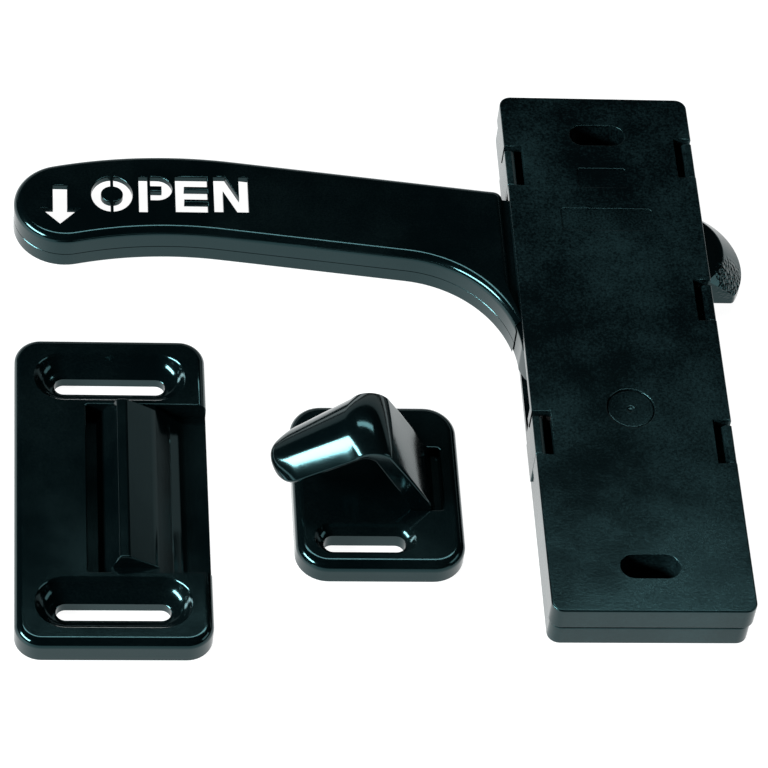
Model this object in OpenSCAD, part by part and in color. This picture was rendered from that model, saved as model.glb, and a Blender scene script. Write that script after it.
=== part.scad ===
// Right-hand screen door latch set: latch case with lever, strike plate and outside pull.
// The frame's origin is the middle of the latch case's back face, which lies on z = 0.
// X runs from the lever to the bolt, Y runs up the door and Z points into the room.

/* [Latch case] */
// Width of the latch case across the door stile
case_w = 50; // [48:0.5:54]
// Length of the latch case up the door stile
case_l = 166.4; // [160:0.2:176]
// Depth of the latch case off the door
case_t = 14; // [13.6:0.1:15]
// Corner radius of the latch case
case_r = 3; // [2:0.5:5]
// Thickness of the case's side walls
wall_t = 2.4; // [2:0.1:2.6]
// Thickness of the housing floor
floor_t = 2; // [1.8:0.1:2]
// Thickness of the front plate
plate_t = 2.2; // [2:0.1:2.2]
// Height of the joint line between housing and cover
split_z = 7; // [6:0.5:7.5]
// Distance between the two screw slots of the case
screw_pitch = 139.7; // [136:0.1:144]
// Length of each screw well in the front plate
well_l = 14.7; // [13:0.1:16]
// Width of each screw well in the front plate
well_w = 7; // [6.8:0.1:7.6]
// Length of each snap hook along the case
hook_l = 13; // [10:0.5:13]

/* [Lever] */
// Width of the lever's grip
grip_w = 26; // [22:0.5:27]
// Inside radius of the elbow where the lever meets the case
elbow_r = 31; // [26:0.5:32]
// Height of the lever's top face
lever_top = 12.5; // [12:0.1:12.8]
// Height of the lever's bottom edge
lever_bottom = 1.8; // [1.2:0.1:2]
// Thickness of the lever's skin
skin_t = 2; // [2:0.1:3]
// Radius rolled along the lever's top edge
lever_edge_r = 2.2; // [1:0.1:2.6]
// Turn of the lever from rest to fully pressed, in degrees
lever_turn = 10.5; // [8:0.5:10.5]

/* [Bolt] */
// Width of the latch bolt
bolt_w = 23; // [22.8:0.1:23.1]
// Reach of the bolt's nose past the case
bolt_reach = 10.3; // [9.3:0.1:10.5]
// Radius of the bolt's round nose
nose_r = 15; // [14.8:0.1:15.4]

/* [Strike plate] */
// Width of the strike plate
strike_w = 47.4; // [46:0.2:50]
// Length of the strike plate
strike_l = 93; // [90:0.5:98]
// Thickness of the strike plate
strike_t = 7; // [6.6:0.1:7.2]
// Height of the strike's catch ridge
ridge_h = 11.2; // [10:0.1:12]
// Distance between the strike's two screw slots
strike_pitch = 68.6; // [68:0.1:70]

/* [Outside pull] */
// Width of the pull's base
pull_w = 41.5; // [40:0.5:44]
// Length of the pull's base
pull_l = 50; // [48:0.5:54]
// Thickness of the pull's base
pull_t = 6.5; // [6:0.1:7]
// Height of the pull's grip at its crown
crown_h = 31; // [28:0.5:33]
// Thickness of the pull's grip
grip_t = 5; // [4:0.5:5]

/* [Colours] */
// Black moulded plastic of the case
case_colour = "#141e1f"; // ["#141e1f", "#2a2a2a"]
// Black gloss plastic of the lever, strike and pull
gloss_colour = "#0c1617"; // ["#0c1617", "#202020"]
// Natural acetal of the bush and the inner rollers
acetal_colour = "#e6e2d4"; // ["#e6e2d4", "#c8c8c8"]
// Plated steel of pins, washers and springs
steel_colour = "#a9adb0"; // ["#a9adb0", "#8c8f92"]
// Black rubber of the stop sleeves
rubber_colour = "#1c1c1c"; // ["#1c1c1c", "#3a3a3a"]

/* [Hidden] */
$fn = 48;
eps = 0.01;
cut = 1;                                    // how far a cutting solid runs past a face

// Heights in the case
plate_z = case_t - plate_t;                 // underside of the front plate
joint_gap = 0.15;                           // open line between housing and cover
inner_w = case_w / 2 - wall_t;              // half width inside the walls
inner_l = case_l / 2 - wall_t;              // half length inside the walls
housing_inset = 0.3;                        // the housing stands in behind the cover
well_wall = 1.6;
boss_top = 4;                               // seat of the screw heads
screw_slot_l = 12;
screw_slot_w = 4.8;
panels = [[0, 40.7, 24, 7.4], [0, 55, 13, 6.6]];     // plain shallow panels: middle, width and height
panel_d = 0.25;
socket_at = [17.5, 76];                     // pegs of the cover in sockets of the housing
socket_r = 3;
peg_r = 1.5;
peg_gap = 0.1;
rib_y = [-46, -57];                         // stiffening ribs across the empty lower half
rib_t = 1.4;
rib_h = 3;
spring_post = [13, -32];                    // post that holds the torsion spring's fixed end
spring_post_r = 1.8;
spring_post_h = 4;

// Pivot
pivot = [0, -21.4];
pin_r = 2.5;
pin_head_r = 4.4;
pin_head_z = [0.25, 1.3];
pin_top = 12;
run_gap = 0.05;                             // running clearance on the pin
bush_r = 4;
hub_r = 8.5;
hub_boss_r = 6.3;                           // core that the torsion spring goes round
hub_bottom = 2.95;
hub_disc_z = 6.7;
hub_top = 10;
washer_r = 7;
washer_t = 0.5;
cap_r = 5.88;
cap_hole_r = 6;
cap_flange_r = 8;
cap_sink = 0.25;                            // the cap's face stands this far below the plate
dimple_r = 0.9;
dimple_d = 0.55;

// Snap hooks: side of the case and height of each hook's middle
HOOKS = [[-1, 58.9], [1, 62.4], [1, 14], [-1, -29.2], [1, -31.6]];
hook_gap = 0.2;
hook_t = 1.4;
barb_t = 1.6;
notch_d = 4.7;
ledge_z = case_t - 1.3;

// Openings in the side walls
lever_window = [-20, 51.3];
bolt_window = [21.8, 46.2];

// Bolt
bolt_y = [22.5, 22.5 + bolt_w];
bolt_mid = (bolt_y[0] + bolt_y[1]) / 2;
bolt_rear = -2;
bolt_bottom = 2.3;
bolt_top = 11.5;
nose_c = [case_w / 2 + bolt_reach - nose_r, 31];
ramp_c = [17.3, 33];
ramp_r = 12.5;                              // radius of the flat top of the nose
rail_gap = 0.3;
rail_t = 1.6;
rail_top = 11.4;
seat_x = -13.6;
seat_t = 1.6;
strip_t = 0.4;
strip_gap = 0.02;
pocket_r = 3.2;
pocket_end = 8;
bolt_spring_z = 7;
bolt_spring_y = [28, 40.5];
drive_pin_at = [13, 34];
drive_pin_r = 2;
drive_gap = 0.1;

// Lever
grip_c = [-113, -64];                       // centre of the grip's bowed edges
grip_r = 113;                               // radius of the grip's centre line
grip_end = 103.7;                           // angle of the middle of the grip's round end
grip_start = 82.5;                          // angle where the bowed edges turn straight
neck_l = 48;                                // length of the straight lower edge
shoulder_x = -26.3;                         // face of the lever next to the case
relief_x = [-149, -83];                     // ends of the relief under the grip's upper edge
relief_y = [54, 72];
relief_h = 3.9;                             // height of the relief above the lever's bottom edge
web_z = [2.6, 11.4];
finger_z = [2.6, 4.6];
finger_r = 3.5;
hub_well_r = 9.2;                           // clears the torsion spring and the washers
spring_leg_x = [9, 6.2];                    // groove in the web for the torsion spring's leg
spring_leg_l = 14;
stop_r = 3;
rest_stop = [17.8, -1.2];
travel_stop_r = 2.6;
travel_stop = [-19.3, -19.6];
post_r = 1.5;

// Strike plate
strike_at = [-128.8, -41.8];
strike_r = 6.5;
slot_run = 22.8;                            // travel of a screw in the strike's slots
slot_w = 4.8;
slot_rim_w = 15;
slot_sink = 4.4;
edge_r = 2.2;
channel_x = -6.2;
channel_z = 1.8;
recess_l = 51;
ridge_l = 48.2;
core_l = 44;                                // pocket that keeps the ridge's wall even, open at the back
core_profile = [[-1, -cut], [0.8, 5.6], [2.4, 8.2], [4, 8.2], [10, 4.6], [12.5, -cut]];

// Outside pull
pull_at = [-63.8, -40];
pull_r = 8;
pull_slot_at = [-67.6, -56.4];
pull_slot_run = 15.4;
pull_rim_w = 9.4;
pull_sink = 2.6;
foot_x = -50;
foot_y = [-47.6, -28.8];
crown_r = 8;
leg_a = 30;                                 // angle of the leg's outward face
bar_a = 127;                                // angle of the bar's upward face
bar_l = 20.1;
stem_z = 0.8;
flange_z = 2.3;
flange_x = 7.4;                             // how far the foot's flange reaches to the left
flange_out = 1.5;
foot_l = foot_y[1] - foot_y[0];
foot_gap = 0.2;
dish_d = 2.4;                               // dish in the base beside the foot
dish_w = 2.4;
tip_x = -84.6;                              // plan of the grip's round tip
tip_r = 6.6;
tip_flat = 1.6;

// Points along an arc
function arc(c, r, a, b, n = 12) = [for (i = [0:n]) let (t = a + (b - a) * i / n) c + r * [cos(t), sin(t)]];

// Lever outline, set in by i all round
function lever_outline(i) =
    let (edge = shoulder_x - i,
         run = [sin(grip_start), -cos(grip_start)],
         out = [cos(grip_start), sin(grip_start)],
         top = grip_c + (grip_r + grip_w / 2 - i) * out,
         low = grip_c + (grip_r - grip_w / 2 + i) * out,
         elbow_c = low + neck_l * run - (elbow_r + i) * out,
         elbow_end = acos((edge - elbow_c[0]) / (elbow_r + i)),
         end_c = grip_c + grip_r * [cos(grip_end), sin(grip_end)])
    concat([[edge, top[1] + (edge - top[0]) * run[1] / run[0]]],
           arc(grip_c, grip_r + grip_w / 2 - i, grip_start, grip_end),
           arc(end_c, grip_w / 2 - i, grip_end + 8, grip_end + 172, 16),
           arc(grip_c, grip_r - grip_w / 2 + i, grip_end, grip_start),
           arc(elbow_c, elbow_r + i, grip_start, elbow_end, 14));

// Rectangle with round corners, centred
module round_rect(w, l, r) {
    square([w - 2 * r, l], center = true);
    square([w, l - 2 * r], center = true);
    for (x = [-1, 1], y = [-1, 1])
        translate([x * (w / 2 - r), y * (l / 2 - r)]) circle(r);
}

// Slot along X with round ends, centred
module slot(run, w) {
    square([run, w], center = true);
    for (x = [-1, 1])
        translate([x * run / 2, 0]) circle(w / 2);
}

// Countersunk slot cut down from z = 0
module sunk_slot(run, w, rim_w, sink, depth) {
    translate([0, 0, -depth - cut]) linear_extrude(depth + 2 * cut) slot(run, w);
    rotate([90, 0, 90]) translate([0, 0, -run / 2]) linear_extrude(run)
        polygon([[-w / 2, -sink], [w / 2, -sink], [rim_w / 2, 0], [rim_w / 2, cut], [-rim_w / 2, cut], [-rim_w / 2, 0]]);
    for (x = [-1, 1]) translate([x * run / 2, 0, 0]) {
        translate([0, 0, -sink]) cylinder(h = sink, r1 = w / 2, r2 = rim_w / 2);
        cylinder(h = cut, r = rim_w / 2);
    }
}

// Plate with round corners and a rolled top edge, standing on z = 0
module rolled_plate(w, l, t, r, roll) {
    steps = 3;
    linear_extrude(t - roll) round_rect(w, l, r);
    for (k = [1:steps]) {
        i = roll * (1 - cos(90 * k / (steps + 1)));
        translate([0, 0, t - roll - eps]) linear_extrude(roll * sin(90 * k / (steps + 1)) + eps)
            round_rect(w - 2 * i, l - 2 * i, r - i);
    }
    translate([0, 0, t - roll - eps]) linear_extrude(roll + eps)
        round_rect(w - 2 * roll, l - 2 * roll, r - roll);
}

// A tube of wire along a path of points: each ring is square to the path
module wire(path, r, sides = 8) {
    n = len(path);
    dirs = [for (i = [0:n - 1]) let (v = path[min(i + 1, n - 1)] - path[max(i - 1, 0)]) v / norm(v)];
    axis_n = [for (d = dirs) let (s = cross(d, abs(d[2]) < 0.9 ? [0, 0, 1] : [1, 0, 0])) s / norm(s)];
    pts = [for (i = [0:n - 1], k = [0:sides - 1])
           let (b = cross(dirs[i], axis_n[i]), t = 360 * k / sides) path[i] + r * (cos(t) * axis_n[i] + sin(t) * b)];
    near_f = [for (i = [0:n - 2], k = [0:sides - 1])
              let (m = (k + 1) % sides) [i * sides + k, i * sides + m, (i + 1) * sides + m]];
    far_f = [for (i = [0:n - 2], k = [0:sides - 1])
             let (m = (k + 1) % sides) [i * sides + k, (i + 1) * sides + m, (i + 1) * sides + k]];
    ends = [[for (k = [sides - 1:-1:0]) k], [for (k = [0:sides - 1]) (n - 1) * sides + k]];
    polyhedron(points = pts, faces = concat(near_f, far_f, ends), convexity = 10);
}

// Window cut through one side wall, from the floor up to the front plate
module side_window(side, span) {
    translate([side > 0 ? inner_w - cut : -case_w / 2 - cut, span[0], floor_t])
        cube([wall_t + 2 * cut, span[1] - span[0], plate_z - floor_t]);
}

// Hook arm outside the wall and its barb over the cover's ledge
module snap_hook(side, y) {
    mirror([side > 0 ? 0 : 1, 0, 0]) translate([case_w / 2 - hook_t, y - hook_l / 2, floor_t]) {
        cube([hook_t, hook_l, case_t - 0.3 - floor_t]);
        translate([0, hook_l, ledge_z + 0.05 - floor_t]) rotate([90, 0, 0]) linear_extrude(hook_l)
            polygon([[0, 0], [hook_t, 0], [hook_t, 1], [0.4, 1], [-barb_t, 0.3], [-barb_t, 0]]);
    }
}

module rear_housing() {
    color(case_colour) difference() {
        union() {
            difference() {
                linear_extrude(split_z - joint_gap / 2)
                    round_rect(case_w - 2 * housing_inset, case_l - 2 * housing_inset, case_r);
                translate([0, 0, floor_t]) linear_extrude(case_t)
                    round_rect(2 * inner_w, 2 * inner_l, 1);
            }
            for (h = HOOKS) snap_hook(h[0], h[1]);
            for (s = [-1, 1]) translate([0, s * screw_pitch / 2, 0]) linear_extrude(boss_top)
                slot(well_l - well_w, well_w + 2 * well_wall);
            translate([pivot[0], pivot[1], floor_t - eps]) cylinder(h = 0.3 + eps, r = washer_r);
            housing_rails();
            for (p = [rest_stop, travel_stop]) translate([p[0], p[1], floor_t - eps])
                cylinder(h = rail_top - floor_t, r = post_r);
            translate([spring_post[0], spring_post[1], floor_t - eps]) cylinder(h = spring_post_h, r = spring_post_r);
            for (x = [-1, 1], y = [-1, 1]) translate([x * socket_at[0], y * socket_at[1], floor_t - eps])
                cylinder(h = split_z - floor_t, r = socket_r);
            for (y = rib_y) translate([-inner_w - eps, y, floor_t - eps])
                cube([2 * inner_w + 2 * eps, rib_t, rib_h]);
        }
        for (s = [-1, 1]) translate([0, s * screw_pitch / 2, -cut]) linear_extrude(boss_top + 2 * cut)
            slot(screw_slot_l - screw_slot_w, screw_slot_w);
        translate([pivot[0], pivot[1], -cut]) cylinder(h = cut + pin_head_z[1], r = pin_head_r + 0.1);
        translate([pivot[0], pivot[1], 0]) cylinder(h = floor_t + cut, r = pin_r);
        for (x = [-1, 1], y = [-1, 1]) translate([x * socket_at[0], y * socket_at[1], floor_t + 1])
            cylinder(h = case_t, r = peg_r + peg_gap);
        side_window(-1, lever_window);
        side_window(1, bolt_window);
    }
}

// Rails that guide the bolt, and the wall behind its springs
module housing_rails() {
    rail_x = seat_x - seat_t;
    difference() {
        union() {
            translate([rail_x, bolt_y[0] - rail_gap - rail_t, floor_t - eps])
                cube([inner_w - 0.1 - rail_x, rail_t, rail_top - floor_t]);
            translate([rail_x, bolt_y[1] + rail_gap, floor_t - eps])
                cube([inner_w - 0.1 - rail_x, rail_t, rail_top - floor_t]);
        }
        translate([-3, bolt_y[0] - rail_gap - rail_t - cut, floor_t]) cube([22, rail_t + 2 * cut, 3.1]);
    }
    translate([rail_x, bolt_y[0] - rail_gap - eps, floor_t - eps])
        cube([seat_t, bolt_w + 2 * rail_gap + 2 * eps, rail_top - floor_t]);
    for (y = bolt_spring_y) translate([seat_x - eps, y, bolt_spring_z]) rotate([0, 90, 0])
        cylinder(h = 3.2, r = 1.6);
}

module front_cover() {
    color(case_colour) difference() {
        union() {
            translate([0, 0, plate_z]) linear_extrude(plate_t) round_rect(case_w, case_l, case_r);
            translate([0, 0, split_z + joint_gap / 2]) linear_extrude(plate_z - split_z) difference() {
                round_rect(case_w, case_l, case_r);
                round_rect(2 * inner_w, 2 * inner_l, 1);
            }
            for (s = [-1, 1]) translate([0, s * screw_pitch / 2, boss_top + 0.1])
                linear_extrude(plate_z - boss_top) slot(well_l - well_w, well_w + 2 * well_wall);
            for (x = [-1, 1], y = [-1, 1]) translate([x * socket_at[0], y * socket_at[1], floor_t + 1.5])
                cylinder(h = plate_z - floor_t - 1.5 + eps, r = peg_r);
        }
        for (s = [-1, 1]) translate([0, s * screw_pitch / 2, 0]) linear_extrude(case_t + cut)
            slot(well_l - well_w, well_w);
        translate([pivot[0], pivot[1], plate_z - cut]) cylinder(h = plate_t + 2 * cut, r = cap_hole_r);
        for (h = HOOKS) cover_notch(h[0], h[1]);
        side_window(-1, lever_window);
        side_window(1, bolt_window);
        for (p = panels)
            translate([p[0], p[1], case_t - panel_d]) linear_extrude(cut) round_rect(p[2], p[3], 1);
    }
}

// Notch in the plate, slit behind the barb and recess for the arm, at one snap hook
module cover_notch(side, y) {
    mirror([side > 0 ? 0 : 1, 0, 0]) translate([case_w / 2, y, 0]) {
        translate([-notch_d, -hook_l / 2 - hook_gap, ledge_z])
            cube([notch_d + cut, hook_l + 2 * hook_gap, case_t]);
        translate([-notch_d, -hook_l / 2 - hook_gap, plate_z - cut])
            cube([notch_d - hook_t - barb_t + 0.1, hook_l + 2 * hook_gap, case_t]);
        translate([-hook_t - 0.12, -hook_l / 2 - hook_gap, 0])
            cube([hook_t + cut, hook_l + 2 * hook_gap, case_t + cut]);
    }
}

module pivot_cap() {
    color(case_colour) translate([pivot[0], pivot[1], 0]) difference() {
        union() {
            translate([0, 0, hub_top + 0.7]) cylinder(h = plate_z - hub_top - 0.75, r = cap_flange_r);
            translate([0, 0, plate_z - 0.1]) cylinder(h = plate_t + 0.1 - cap_sink, r = cap_r);
        }
        translate([0, 0, hub_top]) cylinder(h = pin_top + 0.2 - hub_top, r = pin_r);
        translate([0, 0, case_t - cap_sink - dimple_d]) cylinder(h = cut, r = dimple_r);
    }
}

module pivot_pin() {
    color(steel_colour) translate([pivot[0], pivot[1], 0]) {
        translate([0, 0, pin_head_z[0]]) cylinder(h = pin_head_z[1] - pin_head_z[0], r = pin_head_r);
        translate([0, 0, pin_head_z[0]]) cylinder(h = pin_top - pin_head_z[0], r = pin_r);
    }
}

// Flat ring on the pivot, from z0 up
module pivot_ring(z0, h, r_in, r_out) {
    translate([pivot[0], pivot[1], z0]) difference() {
        cylinder(h = h, r = r_out);
        translate([0, 0, -cut]) cylinder(h = h + 2 * cut, r = r_in);
    }
}

module pivot_bush() { color(acetal_colour) pivot_ring(hub_bottom, hub_top - hub_bottom, pin_r + run_gap, bush_r); }

module rear_thrust_washer() { color(steel_colour) pivot_ring(floor_t + 0.35, washer_t, pin_r + 0.1, washer_r - 0.5); }

module front_thrust_washer() { color(steel_colour) pivot_ring(hub_top + 0.12, washer_t, pin_r + 0.1, washer_r); }

module lever() {
    color(gloss_colour) difference() {
        union() {
            difference() {
                lever_shell();
                translate([0, 0, lever_bottom - cut]) linear_extrude(lever_top - skin_t - lever_bottom + cut)
                    polygon(lever_outline(skin_t));
                translate([0, 0, lever_top - skin_t - cut]) linear_extrude(skin_t + 2 * cut) lever_cutouts();
                finger_relief();
            }
            lever_web();
        }
        translate([pivot[0], pivot[1], 0]) {
            translate([0, 0, -cut]) difference() {
                cylinder(h = hub_disc_z + cut, r = hub_well_r);
                cylinder(h = case_t, r = hub_boss_r);
            }
            cylinder(h = hub_bottom, r = hub_well_r);
            translate([0, 0, hub_top]) cylinder(h = case_t, r = hub_well_r);
            cylinder(h = case_t, r = bush_r);
        }
        translate([pivot[0] - spring_leg_x[0], pivot[1], -cut])
            cube([spring_leg_x[0] - spring_leg_x[1], spring_leg_l, hub_disc_z + cut]);
        translate([drive_pin_at[0], drive_pin_at[1], 0]) cylinder(h = case_t, r = drive_pin_r);
    }
}

// Solid of the lever's grip and neck, with its top edge rolled over in steps
module lever_shell() {
    steps = 3;
    body_h = lever_top - lever_edge_r - lever_bottom;
    translate([0, 0, lever_bottom]) linear_extrude(body_h) polygon(lever_outline(0));
    for (k = [1:steps])
        translate([0, 0, lever_bottom + body_h - eps])
            linear_extrude(lever_edge_r * sin(90 * k / (steps + 0.5)) + eps)
                polygon(lever_outline(lever_edge_r * (1 - cos(90 * k / (steps + 1)))));
    translate([0, 0, lever_bottom + body_h - eps]) linear_extrude(lever_edge_r + eps)
        polygon(lever_outline(lever_edge_r));
}

// Relief under the upper edge of the grip, so that the stencil shows clear through the lever
module finger_relief() {
    translate([0, relief_y[1], 0]) rotate([90, 0, 0]) linear_extrude(relief_y[1] - relief_y[0])
        polygon([[relief_x[0], lever_bottom - relief_h], [relief_x[0] + 2 * relief_h, lever_bottom + relief_h],
                 [relief_x[1] - 2 * relief_h, lever_bottom + relief_h], [relief_x[1], lever_bottom - relief_h]]);
}

// Inside web, hub and drive finger of the lever
module lever_web() {
    translate([0, 0, web_z[0]]) linear_extrude(web_z[1] - web_z[0])
        polygon([[shoulder_x - 1.6, 49.4], [-17.5, 48], [-17, 22], [-14.5, 16.5], [8, 16], [17, 14.5], [17.6, 10],
                 [9.3, -20], [pivot[0] + 6.5, pivot[1] - 6.5], [-8.5, -24], [-22.6, -6.5], [-25.2, -0.2],
                 [-26, 5.2], [-27.9, 11]]);
    translate([pivot[0], pivot[1], hub_bottom]) cylinder(h = hub_top - hub_bottom, r = hub_r);
    translate([0, 0, finger_z[0]]) linear_extrude(finger_z[1] - finger_z[0]) {
        translate([drive_pin_at[0] - finger_r, 8]) square([2 * finger_r, drive_pin_at[1] - 8]);
        translate(drive_pin_at) circle(finger_r);
    }
}

// Down arrow and the word for open, as plain stencil shapes
module lever_cutouts() {
    translate([-141, 37.9]) arrow_shape(12.9);
    translate([-133, 42.2]) letter_o(10.6, 11.8);
    translate([-120.8, 42.2]) letter_p(8.6, 11.9);
    translate([-111.4, 42.4]) letter_e(8.2, 11.9);
    translate([-101.5, 42.6]) letter_n(8.8, 11.9);
}

module arrow_shape(h) {
    translate([-1.8, 4]) square([3.6, h - 4]);
    polygon([[0, 0], [5, 5.2], [-5, 5.2]]);
}

module letter_o(w, h) {
    bridge = 0.8;
    difference() {
        translate([w / 2, h / 2]) scale([w / h, 1]) circle(h / 2);
        translate([w / 2, h / 2]) scale([5.7 / 5.4, 1]) circle(2.7);
        translate([(w - bridge) / 2, -cut]) square([bridge, h + 2 * cut]);
    }
}

module letter_p(w, h) {
    stem = 2.2;
    bridge = 0.8;
    square([stem, h]);
    intersection() {
        translate([stem + bridge, h - 7.8]) square([w, 7.8]);
        difference() {
            union() {
                translate([0, h - 7.8]) square([w - 3.9, 7.8]);
                translate([w - 3.9, h - 3.9]) circle(3.9);
            }
            translate([0, h - 4.8]) square([stem + bridge + 2.9, 1.8]);
        }
    }
}

module letter_e(w, h) {
    arm = 3.25;
    square([2.2, h]);
    for (y = [0, (h - arm) / 2, h - arm]) translate([0, y]) square([w, arm]);
}

module letter_n(w, h) {
    stem = 2.3;
    square([stem, h]);
    translate([w - stem, 0]) square([stem, h]);
    polygon([[0, h], [stem + 0.6, h], [w, 0], [w - stem - 0.6, 0]]);
}

module drive_pin() {
    color(steel_colour) translate([drive_pin_at[0], drive_pin_at[1], finger_z[0] + 0.1])
        cylinder(h = 6.8, r = drive_pin_r);
}

module lever_spring() {
    coil_r = 7.6;
    turns = 2.75;
    n = 66;
    z0 = 3.5;
    rise = 2.6;
    start = -90;
    coil = [for (i = [0:n]) let (a = start + turns * 360 * i / n)
            [pivot[0] + coil_r * cos(a), pivot[1] + coil_r * sin(a), z0 + rise * i / n]];
    last = coil[n];
    tail = [[last[0] - 0.02, last[1] + 3, last[2]], [last[0] - 0.04, last[1] + 12.5, last[2]]];
    head = [[pivot[0] + 13.5, pivot[1] - coil_r - 0.04, z0], [pivot[0] + 3, pivot[1] - coil_r - 0.02, z0]];
    color(steel_colour) wire(concat(head, coil, [for (p = tail) p]), 0.45);
}

// Compression spring along X, from the seat strip to the bottom of the bolt's pocket
module bolt_spring(y) {
    mean_r = 2.45;
    wire_r = 0.35;
    turns = 9;
    n = turns * 16;
    x0 = seat_x + strip_t + wire_r + 0.1;
    x1 = pocket_end - wire_r - 0.1;
    color(steel_colour) wire([for (i = [0:n]) let (a = turns * 360 * i / n)
        [x0 + (x1 - x0) * i / n, y + mean_r * cos(a), bolt_spring_z + mean_r * sin(a)]], wire_r, 6);
}

module bolt_spring_lower() { bolt_spring(bolt_spring_y[0]); }

module bolt_spring_upper() { bolt_spring(bolt_spring_y[1]); }

module spring_seat_strip() {
    color(steel_colour) difference() {
        translate([seat_x + strip_gap, bolt_y[0] + 0.4, floor_t + 0.3])
            cube([strip_t - strip_gap, bolt_w - 0.8, rail_top - floor_t - 0.8]);
        for (y = bolt_spring_y) translate([seat_x - cut, y, bolt_spring_z]) rotate([0, 90, 0])
            cylinder(h = 3, r = 1.7);
    }
}

module latch_bolt() {
    h = bolt_top - bolt_bottom;
    low_a = asin((bolt_y[0] - nose_c[1]) / nose_r);
    high_a = asin((bolt_y[1] - nose_c[1]) / nose_r);
    color(gloss_colour) difference() {
        union() {
            translate([bolt_rear, bolt_y[0], bolt_bottom]) cube([nose_c[0] - bolt_rear, bolt_w, h]);
            intersection() {
                translate([0, 0, bolt_bottom]) linear_extrude(h)
                    polygon(concat([[nose_c[0] - 2, bolt_y[0]]], arc(nose_c, nose_r, low_a, high_a, 24),
                                   [[nose_c[0] - 2, bolt_y[1]]]));
                translate([ramp_c[0], ramp_c[1], bolt_bottom]) cylinder(h = h, r1 = ramp_r + h, r2 = ramp_r, $fn = 96);
            }
        }
        for (y = bolt_spring_y) translate([bolt_rear - cut, y, bolt_spring_z]) rotate([0, 90, 0])
            cylinder(h = pocket_end - bolt_rear + cut, r = pocket_r);
        translate([pocket_end + 0.4, bolt_y[0] - cut, bolt_bottom - cut])
            cube([12.4, 16.5 + cut, finger_z[1] + 0.3 - bolt_bottom + cut]);
        translate([drive_pin_at[0], drive_pin_at[1] + 0.8, bolt_bottom]) rotate([0, 0, 90])
            linear_extrude(7.4) slot(2.6, 2 * (drive_pin_r + drive_gap));
    }
}

// Rubber sleeve round one of the housing's stop posts
module stop_sleeve(at, r) {
    color(rubber_colour) translate([at[0], at[1], floor_t + 0.2]) difference() {
        cylinder(h = rail_top - floor_t - 0.6, r = r);
        translate([0, 0, -cut]) cylinder(h = case_t, r = post_r);
    }
}

module rest_stop_sleeve() { stop_sleeve(rest_stop, stop_r); }

module travel_stop_sleeve() { stop_sleeve(travel_stop, travel_stop_r); }

// Outline of the strike's ridge and ramp in X and Z, from the channel to the low right edge
function ridge_profile() = [[-3.4, channel_z], [-0.3, strike_t], [1, ridge_h - 0.6], [1.6, ridge_h], [3.4, ridge_h],
                            [10.7, strike_t], [15.5, 3], [17.8, channel_z], [strike_w / 2, 1.5],
                            [strike_w / 2, 0.5], [-3.4, 0.5]];

module strike_plate() {
    color(gloss_colour) translate([strike_at[0], strike_at[1], 0]) difference() {
        union() {
            difference() {
                rolled_plate(strike_w, strike_l, strike_t, strike_r, edge_r);
                translate([channel_x, -recess_l / 2, channel_z]) cube([strike_w, recess_l, strike_t]);
            }
            intersection() {
                rotate([90, 0, 0]) translate([0, 0, -recess_l / 2 - eps]) linear_extrude(recess_l + 2 * eps)
                    polygon(ridge_profile());
                union() {
                    translate([-strike_w / 2, -recess_l / 2, 0]) cube([strike_w, recess_l, strike_t]);
                    translate([-strike_w / 2, -ridge_l / 2, 0]) cube([strike_w, ridge_l, ridge_h + cut]);
                }
            }
        }
        for (s = [-1, 1]) translate([0, s * strike_pitch / 2, strike_t])
            sunk_slot(slot_run, slot_w, slot_rim_w, slot_sink, strike_t);
        rotate([90, 0, 0]) translate([0, 0, -core_l / 2]) linear_extrude(core_l)
            polygon(core_profile);
    }
}

module pull_base() {
    color(gloss_colour) difference() {
        translate([pull_at[0], pull_at[1], 0]) rolled_plate(pull_w, pull_l, pull_t, pull_r, 2.5);
        translate([pull_slot_at[0], pull_slot_at[1], pull_t])
            sunk_slot(pull_slot_run, slot_w, pull_rim_w, pull_sink, pull_t);
        translate([foot_x - 6, foot_y[0] - foot_gap, 0]) {
            translate([0, 0, -cut]) cube([6 + foot_gap, foot_l + 2 * foot_gap, pull_t + 2 * cut]);
            translate([0, 0, pull_t - dish_d]) cube([6 + dish_w, foot_l + 2 * foot_gap, dish_d + cut]);
        }
        translate([foot_x - flange_x - 0.3, foot_y[0] - flange_out - 0.3, -cut])
            cube([flange_x + flange_out + 0.4, foot_l + 2 * flange_out + 0.6, flange_z + 0.1 + cut]);
    }
}

// Side outline of the grip in X and Z: leg, crown and free bar
function grip_profile() =
    let (leg_n = [cos(leg_a), sin(leg_a)],
         bar_n = [cos(bar_a), sin(bar_a)],
         bar_d = [-sin(bar_a), cos(bar_a)],
         crown_z = crown_h - crown_r,
         crown_x = (foot_x * leg_n[0] + pull_t * leg_n[1] - crown_r - crown_z * leg_n[1]) / leg_n[0],
         crown_c = [crown_x, crown_z],
         tip_c = crown_c + (crown_r - grip_t / 2) * bar_n + bar_l * bar_d,
         foot_in = foot_x - grip_t / leg_n[0])
    concat([[foot_x, stem_z], [foot_x, pull_t]], arc(crown_c, crown_r, leg_a, bar_a),
           arc(tip_c, grip_t / 2, bar_a, bar_a + 180), arc(crown_c, crown_r - grip_t, bar_a, leg_a),
           [[foot_in, pull_t], [foot_in, stem_z]]);

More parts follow.
